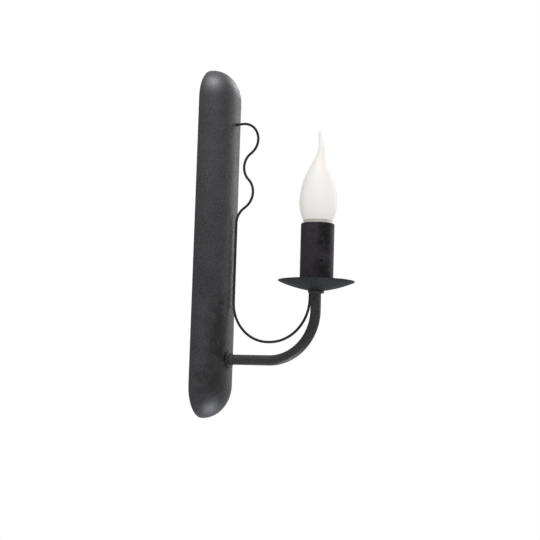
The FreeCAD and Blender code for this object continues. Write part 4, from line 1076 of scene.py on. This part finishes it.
# %% [markdown]
# ## The flame
# A flame bulb is blown and then drawn out at the top, where the soft glass is pulled to one side and snaps
# off with a tiny drop at its end. Rings of their own height, radius and sideways lean describe it. A turned
# outline alone would be straight, and it is the lean that makes a flame of it.

# %% Flame shape
# Height above the shoulder of the collar, radius and lean away from the wall, in millimetres.
FLAME = [
    (-1.4, 14.05, 0),
    (1.6, 15.2, 0),
    (4.2, 16.2, 0),
    (10.2, 17.6, 0),
    (16.7, 18.15, 0),
    (24.2, 17.6, 0),
    (32.2, 16.05, 0),
    (40.2, 13.6, 0),
    (47.2, 10.6, 0.05),
    (53.2, 7.8, 0.25),
    (58.7, 5.4, 1.0),
    (64.2, 3.85, 1.7),
    (70.2, 2.9, 2.1),
    (76.2, 2.05, 1.15),
    (80.2, 1.6, 0.25),
    (82.8, 1.72, -0.15),
    (84.8, 1.55, -0.38),
    (86.0, 0.7, -0.42),
]
print("flame has", len(FLAME), "measured rings and is widest at", 2 * max(ring[1] for ring in FLAME), "mm")

# %% [markdown]
# Straight lines between these rings would show as facets. A smooth curve through them, which leaves each
# ring in step with its neighbours, gives the many rings of the mesh.

# %% Flame curve
GLASS_ROWS_BETWEEN = 6


def between(before, start, end, after, share):
    """A smooth curve from start to end that leaves and arrives in step with its neighbours."""
    leave = (end - before) / 2
    arrive = (after - start) / 2
    square = share * share
    cube = square * share
    return (
        start * (2 * cube - 3 * square + 1) + leave * (cube - 2 * square + share)
        + end * (3 * square - 2 * cube) + arrive * (cube - square)
    )


def flame_rows():
    keys = [Vector(key) * MM for key in FLAME]
    rows = []
    for index in range(len(keys) - 1):
        before = keys[max(index - 1, 0)]
        after = keys[min(index + 2, len(keys) - 1)]
        for step in range(GLASS_ROWS_BETWEEN):
            rows.append(between(before, keys[index], keys[index + 1], after, step / GLASS_ROWS_BETWEEN))
    return rows + [keys[-1]]


outside = flame_rows()
print("flame curve has", len(outside), "rings")

# %% [markdown]
# The glass is a skin of one gauge. Its inside follows the outside up to where the glass closes, and both
# are joined into one piece. A solid flame would look the same from outside, but light would cross it as it
# crosses a block of wax.

# %% Flame glass
GLASS_WALL = 1 * MM
GLASS_SIDES = 96


def flame_ring(height, radius, lean, foot):
    centre = Vector((0, candle_y - lean, foot + height))
    angles = [2 * math.pi * side / GLASS_SIDES for side in range(GLASS_SIDES)]
    return [centre + Vector((math.cos(angle), math.sin(angle), 0)) * radius for angle in angles]


glass_low, glass_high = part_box("bulb_glass")
closes_at = 3 * GLASS_WALL
inside = [Vector((row.x, row.y - GLASS_WALL, row.z)) for row in outside if row.y > closes_at + GLASS_WALL]
crown = Vector((inside[-1].x + GLASS_WALL, 0, inside[-1].z))
tip = Vector((glass_high.z - glass_low.z, 0, outside[-1].z))
skin = [crown] + inside[::-1] + outside + [tip]
glass_points = [point for row in skin for point in flame_ring(row.x, row.y, row.z, glass_low.z)]
glass = new_piece("flame_glass", glass_points, rings_to_faces(len(skin), GLASS_SIDES))
dress(glass, frosted_glass, "bulb", "bulb_glass")
print("flame", round((glass_high.z - glass_low.z) / MM, 1), "mm tall,", len(skin), "rings")

# %% [markdown]
# ## Collar and screw cap
# Between glass and cap sits a moulded collar, with a slightly narrower band where the glass is glued on. It
# could be a stack of cylinders, but mould seams and corners are all rounded, so one turned outline with its
# own rounding at each corner is both shorter and truer.

# %% Bulb collar
GLASS_SKIRT = 1.4 * MM
CUP_BORE = 5.95 * MM
CUP_NECK = 8.2 * MM
CUP_FLOOR = 1.5 * MM
CUP_STRAIGHT = 6 * MM
CUP_INSIDE = 11.2 * MM
SEAT_RADIUS = 12.6 * MM
SEAT_DEPTH = 1.6 * MM
BAND_STEP = 0.4 * MM
BAND_FOOT = 2.2 * MM
BAND_START = 1.9 * MM
collar_box_low, collar_box_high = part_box("bulb_collar")
cup_radius = collar_box_high.x
cup_height = collar_box_high.z - collar_box_low.z
band_radius = cup_radius - BAND_STEP
band_top = cup_height - GLASS_SKIRT
cup_outline = rounded([
    (CUP_BORE, 0, 0.1 * MM),
    (CUP_NECK, 0, 0.4 * MM),
    (CUP_NECK, CUP_FLOOR, 0.6 * MM),
    (cup_radius, cup_height - CUP_STRAIGHT, 1.2 * MM),
    (cup_radius, band_top - BAND_FOOT, 0.2 * MM),
    (band_radius, band_top - BAND_START, 0.1 * MM),
    (band_radius, band_top, 0.2 * MM),
    (SEAT_RADIUS, band_top, 0.1 * MM),
    (SEAT_RADIUS, band_top - SEAT_DEPTH, 0.1 * MM),
    (CUP_INSIDE, band_top - SEAT_DEPTH, 0.1 * MM),
    (CUP_BORE, CUP_FLOOR, 0.3 * MM),
], 3)
cup = turned("bulb_cup", cup_outline, upright(collar_box_low.z))
dress(cup, bulb_plastic, "bulb", "bulb_collar")
print("bulb collar", round(cup_radius * 2 / MM, 1), "mm across")

# %% [markdown]
# The cap is thin nickel-plated sheet with a rounded thread rolled into it. The solids carry that thread as
# plain rings. Here it is the real helix, one turn every 2.82 mm: the lathe asks for a section at each
# angle, and the section's crests climb by one pitch in a full turn. The thread fades out at both ends, as a
# rolled one does.

# %% Screw cap
CAP_PITCH = 2.82 * MM
CAP_DEPTH = 0.6 * MM
CAP_WALL = 0.4 * MM
CAP_ROWS = 110
CAP_SEGMENTS = 72
THREAD_FADE = 1.2 * MM
cap_low, cap_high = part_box("bulb_cap")
cap_crest = cap_high.x
cap_length = cap_high.z - cap_low.z


def cap_section(angle):
    """The cap's wall at an angle: outside a rounded thread that climbs one pitch each turn, inside plain."""
    outer = []
    for row in range(CAP_ROWS + 1):
        height = cap_length * row / CAP_ROWS
        turn = height / CAP_PITCH - angle / (2 * math.pi)
        crest = 0.5 + 0.5 * math.cos(2 * math.pi * turn)
        fade = min(1, height / THREAD_FADE, (cap_length - height) / THREAD_FADE)
        outer.append((cap_crest - CAP_DEPTH * (1 - crest * fade), height))
    inner = cap_crest - CAP_DEPTH - CAP_WALL
    return outer + [(inner, cap_length), (inner, 0)]


cap = turned("screw_cap", cap_section, upright(cap_low.z), CAP_SEGMENTS)
dress(cap, nickel_cap, "bulb", "bulb_cap")
print("thread makes", round(cap_length / CAP_PITCH, 1), "turns")

# %% [markdown]
# At the very bottom a black glass cone insulates the end contact, and the contact is a pressed button with
# a drop of solder on it, uneven because it was put on by hand.

# %% End contact
CONE_TIP = 2.8 * MM
BUTTON_ROUND = 1.1 * MM
SOLDER_LUMP = 0.15 * MM
SOLDER_PER_METRE = 900
cone_low, cone_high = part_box("bulb_insulator")
cone_height = cone_high.z - cone_low.z
cone_outline = rounded([
    (0, 0),
    (CONE_TIP, 0, 0.3 * MM),
    (cone_high.x, cone_height, 0.15 * MM),
    (0, cone_height),
])
cone = turned("glass_cone", cone_outline, upright(cone_low.z))
dress(cone, black_glass, "bulb", "bulb_insulator")

button_low, button_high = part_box("bulb_contact")
button_radius = button_high.x
button_height = button_high.z - button_low.z
button_outline = rounded([
    (0, 0),
    (button_radius, 0, BUTTON_ROUND),
    (button_radius, button_height, 0.1 * MM),
    (0, button_height),
])
button = turned("contact_button", button_outline, upright(button_low.z), 64)
for vertex in button.data.vertices:
    low_share = max(0, 1 - (vertex.co.z - button_low.z) / button_height)
    vertex.co.z += abs(noise.noise(vertex.co * SOLDER_PER_METRE)) * SOLDER_LUMP * low_share
dress(button, nickel_cap, "bulb", "bulb_contact")
print("contact", round(button_radius * 2 / MM, 1), "mm across")

# %% [markdown]
# ## Nuts
# Seen from behind, the plate shows how the sconce is held together: three hexagon nuts, one on the arm's
# end, one under the earth screw and one that clamps the pan. A nut could be a plain prism, but its corners
# are chamfered where they meet its faces, and that is what glints. The lathe does it with an outline that
# depends on the angle.

# %% Nuts
NUT_SEGMENTS = 120
CHAMFER_START = 0.96
CHAMFER_SLOPE = math.tan(math.radians(30))
EARTH_BORE = 2.05 * MM
QUARTER_TURN = Matrix.Rotation(math.pi / 2, 4, "Z")


def nut_outline(flats, height, bore):
    """The section of a chamfered hexagon nut at an angle."""
    chamfer_start = flats / 2 * CHAMFER_START

    def section(angle):
        from_flat = (angle + math.pi / 6) % (math.pi / 3) - math.pi / 6
        corner = flats / 2 / math.cos(from_flat)
        drop = (corner - chamfer_start) * CHAMFER_SLOPE
        return [
            (bore, EDGE), (bore + EDGE, 0), (chamfer_start, 0), (corner, drop),
            (corner, height - drop), (chamfer_start, height), (bore + EDGE, height), (bore, height - EDGE),
        ]

    return section


def wall_nut(name, node, bore, material):
    """A nut whose axis points off the wall, in the place of that node."""
    low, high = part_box(node)
    place = Matrix.Translation((0, high.y, ((low + high) / 2).z)) @ OUTWARDS @ QUARTER_TURN
    nut = turned(name, nut_outline(high.z - low.z, high.y - low.y, bore), place, NUT_SEGMENTS)
    dress(nut, material, "sconce", node)
    print(name, round((high.z - low.z) / MM, 1), "mm across its flats")


wall_nut("root_nut", "arm_nut", THREAD_BORE, zinc_steel)

seat_low, seat_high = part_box("pan_nut")
seat_outline = nut_outline(seat_high.y - seat_low.y, seat_high.z - seat_low.z, THREAD_BORE)
seat_nut = turned("seat_nut", seat_outline, upright(seat_low.z) @ QUARTER_TURN, NUT_SEGMENTS)
dress(seat_nut, zinc_steel, "sconce", "pan_nut")

wall_nut("earth_hexagon", "earth_nut", EARTH_BORE, brass)

# %% [markdown]
# ## Welds
# The bars behind are welded to the plate's inside at their ends, with short runs. A torus or a plain rod
# would read as a rubber ring, because a weld is a row of overlapping ripples. So its bead swells and
# narrows along its length, and both its ends are rounded off.

# %% Weld beads
RIPPLES = 6
WELD_LENGTH = 7 * MM
WELD_RADIUS = 1.1 * MM
WELD_INSET = 0.9 * MM
WELD_GRIT = 0.15
GRIT_PER_METRE = 500
BAR_WELDS = {"upper_hanger_bar": -0.3 * MM, "lower_hanger_bar": -0.3 * MM, "terminal_deck": 1.7 * MM}


def ripple(radius, strength=0.10):
    """A radius that swells with each ripple and closes at both ends."""

    def at(share):
        closing = math.sqrt(max(0.0, 1 - (2 * share - 1) ** 6))
        return radius * closing * (1 + strength * math.sin(share * RIPPLES * 2 * math.pi))

    return at


def line(start, end, steps=42):
    return [start.lerp(end, step / steps) for step in range(steps + 1)]


def weld(name, start, end, radius, material):
    made = bead(name, line(start, end), ripple(radius))
    for vertex in made.data.vertices:
        vertex.co += noise.noise_vector(vertex.co * GRIT_PER_METRE) * radius * WELD_GRIT
    return dress(made, material, "sconce")


for bar, depth in BAR_WELDS.items():
    low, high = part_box(bar)
    for side, x in (("left", low.x), ("right", high.x)):
        inset = x - math.copysign(WELD_INSET, x)
        for end, level in (("low", low.z + WELD_LENGTH), ("high", high.z - WELD_LENGTH)):
            foot = Vector((inset, low.y + depth, level - WELD_LENGTH / 2))
            top = foot + Vector((0, 0, WELD_LENGTH))
            weld(f"weld_{bar}_{side}_{end}", foot, top, WELD_RADIUS, zinc_steel)
print("welds on", len(BAR_WELDS), "bars")

# %% [markdown]
# The wire isn't glued on. It goes through the plate, where drilling left a small uneven burr under the
# coat, and four tacks hold it where it lies along the arm. The burr is a bead bent into a circle whose
# thickness wanders with noise; the tacks are the same short welds as before.

# %% Wire burr and tacks
BURR_STEPS = 48
BURR_RISE = 0.15 * MM
TACK_RADIUS = 0.75 * MM
TACK_ASIDE = 1.1 * MM
TACK_HALF = 0.9 * MM
TACK_DROPS = (2.2 * MM, 5.6 * MM)
crest = Vector((0, -plate_radius, entry_level))
burr_points = []
for step in range(BURR_STEPS + 1):
    angle = 2 * math.pi * step / BURR_STEPS
    burr_points.append(crest + Vector((math.cos(angle), 0, math.sin(angle))) * (wire_radius + BURR_RISE))


def burr_radius(share):
    return (0.42 + 0.22 * noise.noise(Vector((share * 9, 0, 0)))) * MM


burr = bead("entry_burr", burr_points, burr_radius, 12)
dress(burr, wire_black, "sconce")

tack_y = candle_y + ARM_RADIUS + 0.3 * MM
for index, drop in enumerate(TACK_DROPS):
    level = collar_low.z - drop
    for name, aside in ((f"arm_tack_{index}", -TACK_ASIDE), (f"arm_tack_far_{index}", TACK_ASIDE)):
        start = Vector((aside, tack_y, level + TACK_HALF))
        end = Vector((aside, tack_y, level - TACK_HALF))
        weld(name, start, end, TACK_RADIUS, tube_black)
print("burr and tacks in place")

# %% [markdown]
# ## Softened solids
# The other solids have the right shape already. What they lack is the small radius of a real edge. Merging
# their flat faces and then bevelling every corner sharper than forty degrees gives that, and weighted
# normals keep the flats flat. The mesh itself isn't touched: these are modifiers.

# %% Softened edges
SAME_FLAT = math.radians(0.8)
REAL_CORNER = math.radians(40)


def soften(node, width):
    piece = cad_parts[node]
    merge = piece.modifiers.new("flat_faces", "DECIMATE")
    merge.decimate_type = "DISSOLVE"
    merge.angle_limit = SAME_FLAT
    edge = piece.modifiers.new("soft_edges", "BEVEL")
    edge.width = width
    edge.segments = 2
    edge.limit_method = "ANGLE"
    edge.angle_limit = REAL_CORNER
    even = piece.modifiers.new("even_shading", "WEIGHTED_NORMAL")
    even.keep_sharp = True


for node, width in {
    "upper_hanger_bar": 0.3 * MM,
    "lower_hanger_bar": 0.3 * MM,
    "terminal_deck": 0.25 * MM,
    "terminal_block": 0.35 * MM,
    "holder_terminals": 0.15 * MM,
}.items():
    soften(node, width)
print("softened bars, deck and block")

# %% [markdown]
# ## Finishes for the solids that stay
# Last, every solid that still shows gets its own finish. They could be dressed one by one, but a table from
# finish to solids shows at a glance which pieces are made of the same stuff.

# %% Finishes
FINISHES = {
    tube_black: ["arm_tube"],
    wire_black: ["scroll_wire"],
    black_screw: ["sleeve_screw"],
    zinc_steel: [
        "upper_hanger_bar", "lower_hanger_bar", "terminal_deck", "terminal_screws", "block_screw",
        "arm_lock_washer", "holder_terminal_screws",
    ],
    brass: [
        "terminal_clamps", "earth_screw", "earth_washer", "screw_shell", "centre_contact", "holder_terminals",
    ],
    natural_nylon: ["terminal_block", "wire_bush"],
    brown_insulation: ["live_lead"],
    blue_insulation: ["neutral_lead"],
    holder_plastic: ["holder_body", "holder_core"],
    board_white: ["led_board"],
    led_yellow: ["led_chips"],
    board_green: ["driver_board"],
}
for material, names in FINISHES.items():
    for name in names:
        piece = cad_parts[name]
        piece.data.materials.clear()
        piece.data.materials.append(material)
print("finished solids:", sum(len(names) for names in FINISHES.values()))

# %% [markdown]
# ## Studio
# The photograph has a plain white ground and soft light from several sides. The white comes from the world
# and the floor as the camera, glossy surfaces and glass see them, not from more light: for all other rays
# the room is only as bright as shows colours as they are. The floor keeps the sconce's shadow close by, and
# turns plain white further out, so that no horizon shows.

# %% World
def mirrored_rays(tree):
    """1 for what the camera, glossy surfaces and glass see, and 0 for the light that falls on things."""
    rays = add(tree, "ShaderNodeLightPath").outputs
    seen = arithmetic(tree, "MAXIMUM", rays["Is Camera Ray"], rays["Is Glossy Ray"])
    return arithmetic(tree, "MAXIMUM", seen, rays["Is Transmission Ray"])


ROOM_LIGHT = 0.88
WHITE = (1.0, 1.0, 1.0, 1.0)
world = bpy.data.worlds.new("studio")
scene.world = world
world.use_nodes = True
tree = world.node_tree
background = tree.nodes["Background"]
background.inputs["Color"].default_value = WHITE
strength = remap(tree, mirrored_rays(tree), 0.0, 1.0, ROOM_LIGHT, 1.0)
tree.links.new(strength, background.inputs["Strength"])
print("room light", ROOM_LIGHT)

# %% [markdown]
# The floor is one large pale square under the sconce. Its paint is ordinary, so that it takes a shadow, and
# a little emission that only the camera, gloss and glass see lifts it towards white. Further out the two
# blend into plain white by the distance from the middle, which hides the edge without a curved backdrop.

# %% Floor
FLOOR_DROP = 0.33
FLOOR_SIZE = 8.0
FLOOR_GREY = (0.86, 0.86, 0.86, 1.0)
FLOOR_LIFT = 0.2
SHADOW_REACH = (0.35, 0.75)
floor_level = cad_low.z - FLOOR_DROP
square = ((-1, -1), (1, -1), (1, 1), (-1, 1))
corners = [(x * FLOOR_SIZE, y * FLOOR_SIZE, floor_level) for x, y in square]
floor_mesh = bpy.data.meshes.new("studio_floor")
floor_mesh.from_pydata(corners, [], [(0, 1, 2, 3)])
floor = bpy.data.objects.new("studio_floor", floor_mesh)
scene.collection.objects.link(floor)

floor_paint, tree, shader = start_material("floor_paint")
shader.inputs["Base Color"].default_value = FLOOR_GREY
shader.inputs["Roughness"].default_value = 1.0
shader.inputs["Specular IOR Level"].default_value = 0.0
seen = mirrored_rays(tree)
distance = vector_maths(tree, "LENGTH", object_place(tree))
far = remap(tree, distance, *SHADOW_REACH)
glow = arithmetic(tree, "MULTIPLY", seen, FLOOR_LIFT)
lift = add(tree, "ShaderNodeEmission", {"Color": WHITE, "Strength": glow}).outputs[0]
near_floor = add(tree, "ShaderNodeAddShader", {0: shader.outputs["BSDF"], 1: lift}).outputs[0]
white = add(tree, "ShaderNodeEmission", {"Color": WHITE, "Strength": 1.0}).outputs[0]
share = arithmetic(tree, "MULTIPLY", seen, far)
whole = add(tree, "ShaderNodeMixShader", {0: share, 1: near_floor, 2: white}).outputs[0]
tree.links.new(whole, tree.nodes["Material Output"].inputs["Surface"])
floor.data.materials.append(floor_paint)
print("floor at", round(floor_level / MM), "mm")

# %% [markdown]
# One wide lamp in front lights the sconce and draws its shadow on the floor. The dark coats show little
# else than mirror images, so cards stand where the photograph's highlights ask for them: one high up for
# the glow on the upper dome, one for the dome's far shoulder, two on the candle's side for the strip along
# the plate, and a low one for the undersides of dome and arm. The cards are seen in gloss only, so they add
# no light to the colours.

# %% Lamp and cards
def softbox(name, target, towards, distance, size, power, colour, card=True):
    """An area lamp in a direction from its target, given in millimetres. A card shows in reflections only."""
    data = bpy.data.lights.new(name, "AREA")
    data.shape = "RECTANGLE"
    data.size, data.size_y = size
    data.energy = power
    data.color = colour
    lamp = bpy.data.objects.new(name, data)
    way = Vector(towards).normalized()
    lamp.location = Vector(target) * MM + way * distance
    lamp.rotation_euler = way.to_track_quat("Z", "Y").to_euler()
    lamp.visible_camera = False
    lamp.visible_diffuse = not card
    scene.collection.objects.link(lamp)


PLAIN = (1.0, 1.0, 1.0)
WARM = (1.0, 0.96, 0.93)
# Name, target, direction, distance, size, watts and colour.
CARDS = [
    ("high_card", (-20, -14, 160), (-0.38, -0.18, 0.91), 1.2, (0.5, 0.5), 44, (0.97, 0.96, 1.0)),
    ("shoulder_card", (0, -25, 158), (0.80, -0.25, 0.54), 1.2, (0.45, 0.45), 9, (0.97, 0.97, 1.0)),
    ("side_card", (0, -28, 60), (0.85, -0.50, 0.14), 1.2, (0.4, 0.45), 3.8, WARM),
    ("front_card", (0, -28, 60), (0.45, -0.86, 0.25), 1.3, (0.6, 0.5), 3.6, WARM),
    ("low_card", (-12, -16, -165), (0.18, -0.36, -0.915), 0.33, (0.16, 0.16), 2.0, (0.90, 0.95, 1.0)),
]
softbox("wide_lamp", (0, -60, 0), (-0.62, -0.45, 0.52), 1.6, (0.9, 0.9), 3.6, PLAIN, card=False)
for card in CARDS:
    softbox(*card)
print("one lamp and", len(CARDS), "cards lit")

# %% [markdown]
# ## Sizes
# The dressed model has to fill the same box as the solids. The box of the solids is printed.

# %% Sizes
print("box in mm, solids:", [round(v / MM, 1) for v in cad_high - cad_low])
